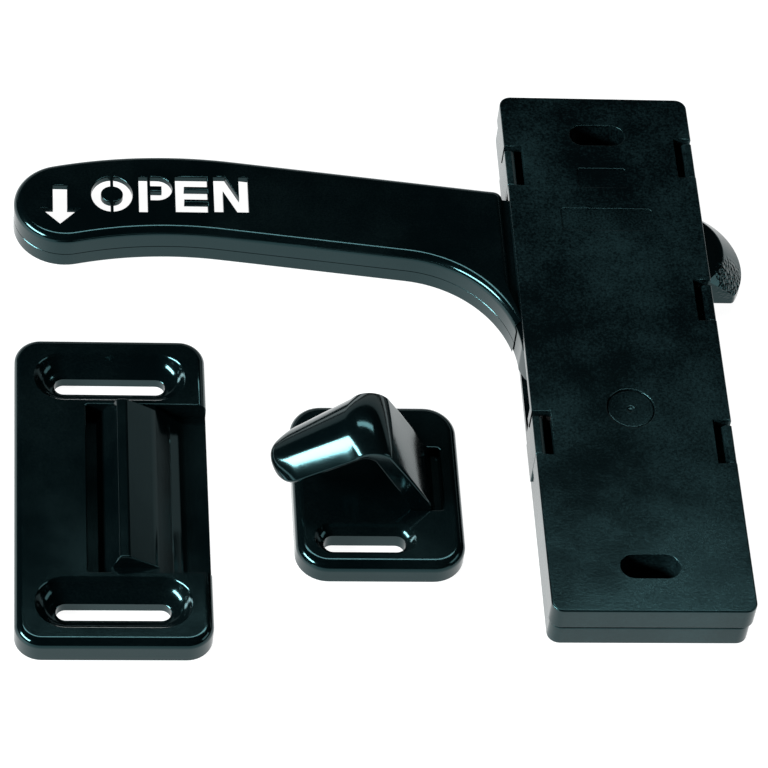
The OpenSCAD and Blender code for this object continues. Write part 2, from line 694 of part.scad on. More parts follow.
module pull_grip() {
    mid_y = (foot_y[0] + foot_y[1]) / 2;
    color(gloss_colour) {
        intersection() {
            rotate([90, 0, 0]) translate([0, 0, -mid_y - 15]) linear_extrude(30) polygon(grip_profile());
            linear_extrude(crown_h + cut) polygon(concat(
                [[foot_x + 2, foot_y[0]], [foot_x - 6, foot_y[0]]],
                arc([tip_x, mid_y - tip_flat], tip_r, 265, 180, 8), arc([tip_x, mid_y + tip_flat], tip_r, 180, 95, 8),
                [[foot_x - 6, foot_y[1]], [foot_x + 2, foot_y[1]]]));
        }
        translate([foot_x - flange_x, foot_y[0] - flange_out, stem_z])
            cube([flange_x + flange_out + 0.1, foot_l + 2 * flange_out, flange_z - stem_z]);
    }
}

rear_housing();
front_cover();
pivot_cap();
pivot_pin();
pivot_bush();
rear_thrust_washer();
front_thrust_washer();
lever();
lever_spring();
drive_pin();
latch_bolt();
bolt_spring_lower();
bolt_spring_upper();
spring_seat_strip();
rest_stop_sleeve();
travel_stop_sleeve();
strike_plate();
pull_base();
pull_grip();
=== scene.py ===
"""Screen door latch set: the visual pieces of the case, lever, bolt, strike plate and outside pull."""
import math

import bmesh
import bpy
from bpy.props import FloatProperty, PointerProperty, StringProperty
from bpy.types import Operator, Panel, PropertyGroup
from mathutils import Matrix, Vector


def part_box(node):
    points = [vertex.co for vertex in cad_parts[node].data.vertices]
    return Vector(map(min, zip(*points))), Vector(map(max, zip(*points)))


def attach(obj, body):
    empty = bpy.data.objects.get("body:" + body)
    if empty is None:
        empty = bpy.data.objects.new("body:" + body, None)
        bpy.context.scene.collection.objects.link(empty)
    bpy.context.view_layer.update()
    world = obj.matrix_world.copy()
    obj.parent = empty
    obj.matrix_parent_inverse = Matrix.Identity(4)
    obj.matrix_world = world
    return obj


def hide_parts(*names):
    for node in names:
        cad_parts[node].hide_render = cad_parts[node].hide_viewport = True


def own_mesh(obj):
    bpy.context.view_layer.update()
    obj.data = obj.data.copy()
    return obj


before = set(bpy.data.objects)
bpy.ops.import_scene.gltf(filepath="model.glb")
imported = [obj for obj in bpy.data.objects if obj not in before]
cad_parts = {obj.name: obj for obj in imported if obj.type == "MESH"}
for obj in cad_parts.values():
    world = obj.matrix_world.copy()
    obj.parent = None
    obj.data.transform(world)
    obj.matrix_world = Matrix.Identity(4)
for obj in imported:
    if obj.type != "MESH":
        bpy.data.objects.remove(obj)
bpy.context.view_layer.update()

bl_info = {
    "name": "Screen Door Latch Set",
    "version": (1, 0, 0),
    "blender": (4, 5, 0),
    "location": "View3D > Sidebar > Latch",
    "description": "Builds the moulded, turned and sprung pieces of a right-hand screen door latch",
    "category": "Object",
}

MM = 0.001                      # metres in a millimetre; shapes below are worked out in millimetres


# ---------------------------------------------------------------- sizes and colours

def length(label, text, value):
    """A length in the panel, kept in metres and given here in millimetres."""
    return FloatProperty(name=label, description=text, default=value * MM, subtype="DISTANCE", unit="LENGTH")


def tint(label, text, value):
    """A colour in the panel, as an sRGB hex value."""
    return StringProperty(name=label, description=text, default=value)


class LatchCaseSizes(PropertyGroup):
    corner: length("Corner", "Corner radius of the latch case", 3.0)
    wall: length("Wall", "Thickness of the case's side walls", 2.4)
    plate: length("Plate", "Thickness of the front plate", 2.2)
    floor: length("Floor", "Thickness of the housing's floor", 2.0)
    edge: length("Edge", "Radius on the front plate's outer edge", 0.45)
    well_run: length("Well length", "Length of a screw well", 14.7)
    well_width: length("Well width", "Width of a screw well", 7.0)
    screw_pitch: length("Screw pitch", "Distance between the two screw wells", 139.7)
    hook_length: length("Hook length", "Length of a snap hook along the case", 13.0)
    hook_thickness: length("Hook thickness", "Thickness of a snap hook's arm", 1.4)


class LatchLeverSizes(PropertyGroup):
    grip_width: length("Grip width", "Width of the lever's grip", 26.0)
    elbow: length("Elbow", "Inside radius of the lever's elbow", 31.0)
    skin: length("Skin", "Thickness of the lever's top skin", 1.7)
    wall: length("Wall", "Thickness of the lever's side walls", 1.6)
    edge: length("Edge", "Radius rolled along the lever's top edge", 2.2)
    seam: length("Seam", "Depth of the mould seam round the lever's wall", 0.12)


class LatchStrikeSizes(PropertyGroup):
    corner: length("Corner", "Corner radius of the strike plate", 6.5)
    edge: length("Edge", "Radius rolled along the strike plate's top edge", 2.2)
    plate: length("Plate", "Thickness of the strike plate beside its ridge", 7.0)
    slot_run: length("Slot run", "How far a screw can move along a slot", 22.8)
    slot_width: length("Slot width", "Width of a slot", 4.8)
    slot_rim: length("Slot rim", "Width of the dish round a slot", 15.0)
    slot_pitch: length("Slot pitch", "Distance between the two slots", 68.6)


class LatchPullSizes(PropertyGroup):
    corner: length("Corner", "Corner radius of the pull's base", 8.0)
    edge: length("Edge", "Radius rolled along the base's top edge", 2.5)
    bar: length("Bar", "Thickness of the grip's bar", 5.0)
    slot_run: length("Slot run", "How far a screw can move along the base's slot", 15.4)
    slot_width: length("Slot width", "Width of the base's slot", 4.8)


class LatchColours(PropertyGroup):
    case: tint("Case", "Black plastic of the case", "#010304")
    case_worn: tint("Case, light", "Lighter grain of the case's plastic", "#0F1D1F")
    gloss: tint("Gloss", "Black gloss plastic of the lever, bolt, strike and pull", "#010405")
    gloss_worn: tint("Gloss, light", "Lighter clouds in the gloss plastic", "#050B0C")
    shine: tint("Shine", "Tint of the reflections in the black plastics", "#A0EEF6")
    acetal: tint("Acetal", "Natural acetal of the bush", "#DAD6C6")
    steel: tint("Steel", "Zinc plate on pins and washers", "#A9AEB2")
    wire: tint("Wire", "Drawn spring wire", "#8E9396")
    rubber: tint("Rubber", "Rubber of the stop sleeves", "#161616")
    table: tint("Table", "Pale table under the set", "#6A6E6E")


def sizes(group):
    """The sizes of one group of the panel, in millimetres, by name."""
    found = getattr(bpy.context.scene, "latch_" + group)
    return {key: getattr(found, key) / MM for key in type(found).__annotations__}


def linear(text):
    """An sRGB hex value as a linear colour."""
    parts = [int(text[i:i + 2], 16) / 255 for i in (1, 3, 5)]
    return [p / 12.92 if p <= 0.04045 else ((p + 0.055) / 1.055) ** 2.4 for p in parts] + [1.0]


def colour(name):
    return linear(getattr(bpy.context.scene.latch_colours, name))


def cad(node):
    """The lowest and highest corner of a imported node, in millimetres."""
    low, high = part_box(node)
    return low / MM, high / MM


# ---------------------------------------------------------------- outlines, in millimetres

def arc(centre, radius, start, end, steps=12):
    """Points along an arc, with angles in degrees."""
    angles = [math.radians(start + (end - start) * i / steps) for i in range(steps + 1)]
    return [(centre[0] + radius * math.cos(t), centre[1] + radius * math.sin(t)) for t in angles]


def soft(points, radii, steps=6):
    """A polygon with each corner rounded to its radius."""
    made = []
    count = len(points)
    radii = radii if isinstance(radii, (list, tuple)) else [radii] * count
    for i, (corner, radius) in enumerate(zip(points, radii)):
        here = Vector(corner)
        if radius <= 0:
            made.append(tuple(here))
            continue
        back = (Vector(points[i - 1]) - here).normalized()
        ahead = (Vector(points[(i + 1) % count]) - here).normalized()
        half = math.acos(max(-1.0, min(1.0, back.dot(ahead)))) / 2
        centre = here + (back + ahead).normalized() * radius / math.sin(half)
        first = here + back * radius / math.tan(half) - centre
        last = here + ahead * radius / math.tan(half) - centre
        turn = math.atan2(first.x * last.y - first.y * last.x, first.dot(last))
        for k in range(steps + 1):
            a = turn * k / steps
            spin = Matrix.Rotation(a, 2)
            made.append(tuple(centre + spin @ first))
    return made


def rectangle(width, height, radius=0.0, at=(0, 0), steps=6):
    x, y = width / 2, height / 2
    corners = [(at[0] + sx * x, at[1] + sy * y) for sx, sy in ((-1, -1), (1, -1), (1, 1), (-1, 1))]
    return soft(corners, radius, steps)


def oblong(run, width, at=(0, 0), steps=12):
    """A slot along X with round ends."""
    r = width / 2
    right = arc((at[0] + run / 2, at[1]), r, -90, 90, steps)
    return right + arc((at[0] - run / 2, at[1]), r, 90, 270, steps)


def disc(radius, at=(0, 0), steps=48):
    return arc(at, radius, 0, 360, steps)[:-1]


def grown(outline, by):
    """The outline with every side moved outwards, or inwards when negative."""
    if abs(by) < 1e-9:
        return list(outline)
    area = sum(a[0] * b[1] - a[1] * b[0] for a, b in zip(outline, outline[1:] + outline[:1]))
    side = 1 if area > 0 else -1
    made = []
    for i, point in enumerate(outline):
        before = Vector(point) - Vector(outline[i - 1])
        after = Vector(outline[(i + 1) % len(outline)]) - Vector(point)
        m = Vector((before.y, -before.x)).normalized() * side
        n = Vector((after.y, -after.x)).normalized() * side
        made.append(tuple(Vector(point) + (m + n) * by / (1 + m.dot(n))))
    return made


def ring(outline, level, axis="Z"):
    """An outline as points in space, at a level along an axis."""
    if axis == "Z":
        return [(u, v, level) for u, v in outline]
    if axis == "Y":
        return [(u, level, v) for u, v in outline]
    return [(level, u, v) for u, v in outline]


# ---------------------------------------------------------------- solids

def loft(name, rings, joined=False):
    """A closed skin through rings of equally many points. A joined loft has no caps: its ends meet."""
    bm = bmesh.new()
    rows = [[bm.verts.new(Vector(p) * MM) for p in points] for points in rings]
    pairs = list(zip(rows, rows[1:])) + ([(rows[-1], rows[0])] if joined else [])
    for low, high in pairs:
        for i in range(len(low)):
            j = (i + 1) % len(low)
            bm.faces.new((low[i], low[j], high[j], high[i]))
    if not joined:
        bm.faces.new(list(reversed(rows[0])))
        bm.faces.new(rows[-1])
    bmesh.ops.recalc_face_normals(bm, faces=bm.faces)
    mesh = bpy.data.meshes.new(name)
    bm.to_mesh(mesh)
    bm.free()
    piece = bpy.data.objects.new(name, mesh)
    bpy.context.scene.collection.objects.link(piece)
    return piece


def rounding(radius, steps=5):
    """Inset and rise along a quarter round, from the upright side to the flat top."""
    angles = [math.pi / 2 * k / steps for k in range(steps + 1)]
    return [(radius * (1 - math.cos(t)), radius * (math.sin(t) - 1)) for t in angles]


def block(name, outline, low, high, foot=0.0, top=0.0, axis="Z", steps=5):
    """An extruded outline whose lower and upper edges are rounded."""
    below = list(reversed(rounding(foot, steps))) if foot else [(0, 0)]
    above = rounding(top, steps) if top else [(0, 0)]
    rings = [ring(grown(outline, -inset), low - rise, axis) for inset, rise in below]
    rings += [ring(grown(outline, -inset), high + rise, axis) for inset, rise in above]
    return loft(name, rings)


def hollow(name, outline, low, surface, lip=0.2, steps=3):
    """A cutting solid that leaves a rounded lip where it breaks the surface above it."""
    rings = [ring(outline, low)]
    rings += [ring(grown(outline, i), surface + z) for i, z in rounding(lip, steps)]
    rings.append(ring(grown(outline, lip), surface + 1))
    return loft(name, rings)


def turned(name, profile, at, inner=None, steps=48):
    """A turned piece about Z from radius and height pairs; inner pairs make it a tube."""
    rings = [ring(disc(r, at, steps), z) for r, z in profile]
    if inner:
        rings += [ring(disc(r, at, steps), z) for r, z in inner]
    return loft(name, rings, joined=bool(inner))


def combine(piece, other, way):
    """Cuts the other solid from the piece, adds it or keeps what they share, and uses it up."""
    step = piece.modifiers.new("combine", "BOOLEAN")
    step.operation = way
    step.solver = "EXACT"
    step.object = other
    graph = bpy.context.evaluated_depsgraph_get()
    made = bpy.data.meshes.new_from_object(piece.evaluated_get(graph))
    piece.modifiers.clear()
    piece.data = made
    bpy.data.objects.remove(other)
    if not made.polygons:
        raise RuntimeError(f"{piece.name} was lost in a {way.lower()}")


def cut(piece, *others):
    for other in others:
        combine(piece, other, "DIFFERENCE")


def add(piece, *others):
    for other in others:
        combine(piece, other, "UNION")


def dress(piece, material, body, slot, *nodes, crease=32):
    """Shades a finished piece, gives it its material and sets it on its body."""
    bm = bmesh.new()
    bm.from_mesh(piece.data)
    bmesh.ops.remove_doubles(bm, verts=bm.verts, dist=0.002 * MM)
    bmesh.ops.holes_fill(bm, edges=[e for e in bm.edges if e.is_boundary], sides=12)
    open_edges = sum(1 for e in bm.edges if not e.is_manifold)
    bm.to_mesh(piece.data)
    bm.free()
    if open_edges:
        print(f"NOTE {piece.name} has {open_edges} open edges")
    piece.data.shade_smooth()
    piece.data.set_sharp_from_angle(angle=math.radians(crease))
    even = piece.modifiers.new("even_normals", "WEIGHTED_NORMAL")
    even.keep_sharp = True
    piece.data.materials.clear()
    piece.data.materials.append(material)
    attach(piece, body)
    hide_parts(*nodes)
    return piece


# ---------------------------------------------------------------- materials

def shader_node(tree, kind, inputs=None, **settings):
    """Adds one node with its settings, and sets or links its inputs."""
    made = tree.nodes.new(kind)
    for key, value in settings.items():
        setattr(made, key, value)
    for key, value in (inputs or {}).items():
        if isinstance(value, bpy.types.NodeSocket):
            tree.links.new(value, made.inputs[key])
        else:
            made.inputs[key].default_value = value
    return made


def blank_material(name):
    """A new material's tree, with its coordinates in metres of the piece's own frame."""
    material = bpy.data.materials.new(name)
    material.use_nodes = True
    tree = material.node_tree
    tree.nodes.clear()
    where = shader_node(tree, "ShaderNodeTexCoord").outputs["Object"]
    return material, tree, where


def close_material(material, tree, surface):
    shader_node(tree, "ShaderNodeOutputMaterial", {"Surface": surface})
    return material


def moulded_plastic(name, dark, light, grain, relief, rough, wave):
    """Injection moulded plastic: spark-eroded grain, slow sink marks and a slightly clouded skin."""
    material, tree, where = blank_material(name)
    fine = shader_node(tree, "ShaderNodeTexNoise", {
        "Vector": where, "Scale": 1 / (grain * MM), "Detail": 3.0, "Roughness": 0.6})
    clouds = shader_node(tree, "ShaderNodeTexNoise", {
        "Vector": where, "Scale": 1 / (22 * MM), "Detail": 4.0, "Roughness": 0.55})
    mixing = shader_node(tree, "ShaderNodeMath", {0: fine.outputs["Fac"], 1: clouds.outputs["Fac"]},
                         operation="MULTIPLY")
    tone = shader_node(tree, "ShaderNodeValToRGB", {"Fac": mixing.outputs[0]})
    tone.color_ramp.elements[0].position = 0.2
    tone.color_ramp.elements[0].color = dark
    tone.color_ramp.elements[1].position = 0.42
    tone.color_ramp.elements[1].color = light
    polish = shader_node(tree, "ShaderNodeMapRange", {
        "Value": clouds.outputs["Fac"], "From Min": 0.3, "From Max": 0.7,
        "To Min": rough[0], "To Max": rough[1]})
    waves = shader_node(tree, "ShaderNodeTexNoise", {
        "Vector": where, "Scale": 1 / (9 * MM), "Detail": 1.0})
    sink = shader_node(tree, "ShaderNodeBump", {
        "Height": waves.outputs["Fac"], "Distance": wave * MM, "Strength": 1.0})
    skin = shader_node(tree, "ShaderNodeBump", {
        "Height": fine.outputs["Fac"], "Distance": relief * MM, "Strength": 1.0,
        "Normal": sink.outputs["Normal"]})
    shader = shader_node(tree, "ShaderNodeBsdfPrincipled", {
        "Base Color": tone.outputs["Color"], "Roughness": polish.outputs["Result"], "IOR": 1.46,
        "Specular Tint": colour("shine"), "Normal": skin.outputs["Normal"]})
    return close_material(material, tree, shader.outputs["BSDF"])


def case_plastic():
    # Black ABS with a fine spark-eroded grain: a dull, slightly green black that greys at a low angle
    return moulded_plastic("grained_black_abs", colour("case"), colour("case_worn"), grain=0.55, relief=0.018,
                           rough=(0.15, 0.21), wave=0.015)


def gloss_plastic():
    # Black acetal from a polished mould: deep black faces with sharp highlights along the rolled edges
    return moulded_plastic("polished_black_acetal", colour("gloss"), colour("gloss_worn"), grain=0.4,
                           relief=0.006, rough=(0.09, 0.15), wave=0.015)


def bolt_plastic():
    # The bolt's black acetal: polished, with a patch of chatter marks where the nose was trimmed
    material = moulded_plastic("trimmed_black_acetal", colour("gloss"), colour("gloss_worn"), grain=0.4,
                               relief=0.006, rough=(0.12, 0.18), wave=0.015)
    tree = material.node_tree
    where = next(n for n in tree.nodes if n.bl_idname == "ShaderNodeTexCoord").outputs["Object"]
    shader = next(n for n in tree.nodes if n.bl_idname == "ShaderNodeBsdfPrincipled")
    away = shader_node(tree, "ShaderNodeVectorMath", {
        0: where, 1: tuple(v * MM for v in TRIM_SPOT)}, operation="DISTANCE")
    patch = shader_node(tree, "ShaderNodeMapRange", {
        "Value": away.outputs["Value"], "From Min": 3.2 * MM, "From Max": 6.2 * MM,
        "To Min": 1.0, "To Max": 0.0})
    chips = shader_node(tree, "ShaderNodeTexVoronoi", {"Vector": where, "Scale": 1 / (0.9 * MM)})
    depth = shader_node(tree, "ShaderNodeMath", {
        0: chips.outputs["Distance"], 1: patch.outputs["Result"]}, operation="MULTIPLY")
    marks = shader_node(tree, "ShaderNodeBump", {
        "Height": depth.outputs[0], "Distance": 0.3 * MM,
        "Normal": shader.inputs["Normal"].links[0].from_socket})
    tree.links.new(marks.outputs["Normal"], shader.inputs["Normal"])
    return material


def natural_acetal():
    # Turned natural acetal: waxy off-white with faint rings from the tool
    material, tree, where = blank_material("turned_natural_acetal")
    rings = shader_node(tree, "ShaderNodeTexWave", {
        "Vector": where, "Scale": 1 / (0.5 * MM), "Distortion": 0.4}, bands_direction="Z")
    tool = shader_node(tree, "ShaderNodeBump", {"Height": rings.outputs["Fac"], "Distance": 0.01 * MM})
    shader = shader_node(tree, "ShaderNodeBsdfPrincipled", {
        "Base Color": colour("acetal"), "Roughness": 0.42, "IOR": 1.48, "Subsurface Weight": 0.15,
        "Subsurface Radius": (0.002, 0.0018, 0.0014), "Subsurface Scale": 1.0,
        "Normal": tool.outputs["Normal"]})
    return close_material(material, tree, shader.outputs["BSDF"])


def metal(name, tone, stretch, scratch, rough):
    """Bare or plated metal: streaks as long as the stretch along each axis, in millimetres."""
    material, tree, where = blank_material(name)
    lay = shader_node(tree, "ShaderNodeVectorMath", {
        0: where, 1: tuple(1 / (s * MM) for s in stretch)}, operation="MULTIPLY")
    streaks = shader_node(tree, "ShaderNodeTexNoise", {
        "Vector": lay.outputs["Vector"], "Scale": 1.0, "Detail": 3.0})
    dull = shader_node(tree, "ShaderNodeMapRange", {
        "Value": streaks.outputs["Fac"], "From Min": 0.3, "From Max": 0.7,
        "To Min": rough[0], "To Max": rough[1]})
    marks = shader_node(tree, "ShaderNodeBump", {"Height": streaks.outputs["Fac"], "Distance": scratch * MM})
    shader = shader_node(tree, "ShaderNodeBsdfPrincipled", {
        "Base Color": tone, "Metallic": 1.0, "Roughness": dull.outputs["Result"],
        "Normal": marks.outputs["Normal"]})
    return close_material(material, tree, shader.outputs["BSDF"])


def zinc_plate():
    # Bright zinc on turned steel: fine rings and a soft blue-grey shine
    return metal("bright_zinc_plated_steel", colour("steel"), (1.2, 1.2, 0.15), 0.004, (0.22, 0.38))


def spring_wire():
    # Drawn stainless wire: long streaks along the wire and a darker shine
    return metal("drawn_stainless_wire", colour("wire"), (0.4, 0.4, 0.4), 0.003, (0.25, 0.4))


def stop_rubber():
    # Cut rubber tube: dead black with a soft bloom
    material, tree, where = blank_material("cut_black_rubber")
    bloom = shader_node(tree, "ShaderNodeTexNoise", {
        "Vector": where, "Scale": 1 / (0.8 * MM), "Detail": 4.0})
    tone = shader_node(tree, "ShaderNodeValToRGB", {"Fac": bloom.outputs["Fac"]})
    tone.color_ramp.elements[0].color = colour("rubber")
    tone.color_ramp.elements[1].color = linear("#2A2A2A")
    pores = shader_node(tree, "ShaderNodeBump", {"Height": bloom.outputs["Fac"], "Distance": 0.03 * MM})
    shader = shader_node(tree, "ShaderNodeBsdfPrincipled", {
        "Base Color": tone.outputs["Color"], "Roughness": 0.8, "IOR": 1.52,
        "Normal": pores.outputs["Normal"]})
    return close_material(material, tree, shader.outputs["BSDF"])


def lit_table():
    # Pale laminate on a light table: white, with its own soft glow from below
    material, tree, where = blank_material("pale_light_table")
    shader = shader_node(tree, "ShaderNodeBsdfPrincipled", {
        "Base Color": colour("table"), "Roughness": 0.6, "Emission Color": (1.0, 1.0, 1.0, 1.0),
        "Emission Strength": 0.97})
    return close_material(material, tree, shader.outputs["BSDF"])


def painted_shade_sheet():
    # Painted shade: a matt black sheet under the case stands in for the shadow the case would cast on the
    # glowing table, and keeps the table's glow out of the case's wells and gaps
    material, tree, where = blank_material("painted_case_shadow")
    fibres = shader_node(tree, "ShaderNodeTexNoise", {"Vector": where, "Scale": 1 / MM, "Detail": 3.0})
    tone = shader_node(tree, "ShaderNodeValToRGB", {"Fac": fibres.outputs["Fac"]})
    tone.color_ramp.elements[0].color = linear("#050505")
    tone.color_ramp.elements[1].color = linear("#101010")
    shader = shader_node(tree, "ShaderNodeBsdfPrincipled", {
        "Base Color": tone.outputs["Color"], "Roughness": 0.9})
    return close_material(material, tree, shader.outputs["BSDF"])


MADE = {}


def once(make):
    """A material by its maker, made the first time it is asked for."""
    if make.__name__ not in MADE:
        MADE[make.__name__] = make()
    return MADE[make.__name__]


# ---------------------------------------------------------------- shared places, in millimetres

CASE_LOW, CASE_HIGH = cad("front_cover")
CASE_W = CASE_HIGH.x - CASE_LOW.x
CASE_L = CASE_HIGH.y - CASE_LOW.y
CASE_T = CASE_HIGH.z
SPLIT = 7.0                     # height of the joint line between housing and cover
GAP = 0.5                       # open line between housing and cover
WELL_SEAT = 4.0                 # height of the screw heads' seat
CAP_LOW, CAP_HIGH = cad("pivot_cap")
PIVOT = ((CAP_LOW.x + CAP_HIGH.x) / 2, (CAP_LOW.y + CAP_HIGH.y) / 2)
HOOKS = [(-1, 58.9), (1, 62.4), (1, 14.0), (-1, -29.2), (1, -31.6)]     # side of the case and height up it
HOOK_LEDGE = 1.3                # depth of the cover's ledge under each barb
LEVER_WINDOW = (-20.0, 51.3)    # lower and upper end of the lever's window
BOLT_WINDOW = (21.8, 46.2)      # lower and upper end of the bolt's window
BOLT_LOW, BOLT_HIGH = cad("latch_bolt")
SPRING_ROWS = (28.0, 40.5)      # the two bolt springs' places across the bolt
SPRING_Z = 7.0                  # height of the bolt springs' middle line
SEAT_X = -13.6                  # face of the wall that the bolt springs push on
SOCKETS = (17.5, 76.0)          # places of the corner sockets across and along the case
RIB_ROWS = (-46.0, -57.0)       # lower faces of the two cross ribs
REST_POST = (17.8, -1.2)        # post behind the lever's web at rest
TRAVEL_POST = (-19.3, -19.6)    # post that ends the lever's turn
SPRING_POST = (13.0, -32.0)     # post that holds the long end of the lever's spring
ELBOW_CENTRE = (-56.4, -1.86)   # middle of the lever's inside elbow
TRIM_SPOT = (31.5, 26.5, 8.0)   # middle of the trimmed patch on the bolt's nose
STRIKE_LOW, STRIKE_HIGH = cad("strike_plate")
STRIKE_X = (STRIKE_LOW.x + STRIKE_HIGH.x) / 2
STRIKE_Y = (STRIKE_LOW.y + STRIKE_HIGH.y) / 2
BASE_LOW, BASE_HIGH = cad("pull_base")
GRIP_LOW, GRIP_HIGH = cad("pull_grip")


def socket_corners():
    """The four places where the cover's pegs stand in the housing's sockets."""
    return [(x * SOCKETS[0], y * SOCKETS[1]) for x in (-1, 1) for y in (-1, 1)]


def inside_of_case(size):
    """Half width and half length of the room inside the case's walls."""
    return CASE_W / 2 - size["wall"], CASE_L / 2 - size["wall"]


def window(side, span, low, high, size):
    """A cutting block for the window in one side wall."""
    middle = side * (CASE_W / 2 - size["wall"] / 2)
    outline = rectangle(size["wall"] + 2.4, span[1] - span[0], at=(middle, sum(span) / 2))
    return block("window", outline, low, high)


class LATCH_OT_rear_housing(Operator):
    """Builds the moulded rear housing with its snap hooks, screw seats, rails and posts"""
    bl_idname = "latch.rear_housing"
    bl_label = "Rear Housing"

    inset: length("Inset", "How far the housing stands in behind the cover", 0.45)
    seat_wall: length("Seat wall", "Wall round each screw seat", 1.6)
    rail_top: length("Rail top", "Height of the bolt's rails", 11.4)

    def execute(self, context):
        size = sizes("case")
        floor, top = size["floor"], SPLIT - GAP / 2
        half_w, half_l = inside_of_case(size)
        shell = rectangle(CASE_W - 2 * self.inset / MM, CASE_L - 2 * self.inset / MM, size["corner"])
        piece = block("housing_moulding", shell, 0, top, foot=0.3, top=0.8, steps=4)
        cut(piece, block("room", rectangle(2 * half_w, 2 * half_l, 1), floor, CASE_T))
        cut(piece, window(-1, LEVER_WINDOW, floor + 0.02, CASE_T, size),
            window(1, BOLT_WINDOW, floor + 0.02, CASE_T, size))
        run = size["well_run"] - size["well_width"]
        for y in (-size["screw_pitch"] / 2, size["screw_pitch"] / 2):
            seat = oblong(run, size["well_width"] + 2 * self.seat_wall / MM, (0, y))
            add(piece, block("seat", seat, floor - 0.5, WELL_SEAT))
            cut(piece, block("screw_slot", oblong(7.2, 4.8, (0, y)), -1, WELL_SEAT + 1))
        for x, y in socket_corners():
            add(piece, block("socket", disc(3, (x, y), 24), floor - 0.5, SPLIT - 0.4, top=0.3, steps=2))
            cut(piece, block("bore", disc(1.6, (x, y), 24), floor + 1, CASE_T))
        self.add_rails(piece, floor, half_w)
        for y in RIB_ROWS:
            rib = rectangle(2 * half_w + 0.4, 1.4, at=(0, y + 0.7))
            add(piece, block("rib", rib, floor - 0.5, floor + 3))
        add(piece, turned("pad", [(7, floor - 0.5), (7, floor + 0.3)], PIVOT))
        cut(piece, turned("pin_hole", [(4.5, -1), (4.5, 1.3), (2.5, 1.31), (2.5, CASE_T)], PIVOT))
        for side, y in HOOKS:
            add(piece, self.hook(side, y, size))
        dress(piece, once(case_plastic), "case", "case_plastic", "rear_housing")
        return {"FINISHED"}

    def add_rails(self, piece, floor, half_w):
        rail_top = self.rail_top / MM
        back = SEAT_X - 1.6
        low, high = BOLT_LOW.y - 0.3, BOLT_HIGH.y + 0.3
        for y in (low - 0.8, high + 0.8):
            long = half_w - 0.1 - back
            rail = rectangle(long, 1.6, 0.3, (back + long / 2, y))
            add(piece, block("rail", rail, floor - 0.5, rail_top, top=0.3))
        seat = rectangle(1.6, high - low + 0.4, at=(SEAT_X - 0.8, (low + high) / 2))
        add(piece, block("spring_wall", seat, floor - 0.5, rail_top - 0.02, top=0.3))
        cut(piece, block("finger_gap", rectangle(22, 4, at=(8, low - 0.8)), floor + 0.04, floor + 3.1))
        for y in SPRING_ROWS:
            peg = [ring(disc(r, (y, SPRING_Z), 20), SEAT_X + x, "X") for x, r in
                   ((-0.5, 1.6), (2.7, 1.6), (3.2, 1.1))]
            add(piece, loft("spring_peg", peg))
        posts = ((REST_POST, 1.5, rail_top), (TRAVEL_POST, 1.5, rail_top), (SPRING_POST, 1.8, 6.0))
        for at, radius, top in posts:
            add(piece, block("post", disc(radius, at, 24), floor - 0.5, top, top=0.3, steps=2))

    def hook(self, side, y, size):
        """A springy arm with a barb whose top slopes down towards the cover."""
        thick, half = size["hook_thickness"], size["hook_length"] / 2
        root, tip = size["floor"], CASE_T - 0.35
        ledge = CASE_T - HOOK_LEDGE + 0.05
        profile = [(-thick, root), (0, root), (0, tip), (-0.3 - thick, tip), (-1.1 - thick, ledge + 0.4),
                   (-1.1 - thick, ledge), (-thick, ledge)]
        profile = soft(profile, [0, 0, 0.45, 0.4, 0.12, 0.1, 0.1], 3)
        shape = [(side * (CASE_W / 2 + u), v) for u, v in profile]
        rings = [ring(grown(shape, -i), y - half - z, "Y") for i, z in reversed(rounding(0.35, 3))]
        rings += [ring(grown(shape, -i), y + half - 1 + z, "Y") for i, z in rounding(0.35, 3)]
        return loft("hook", rings)


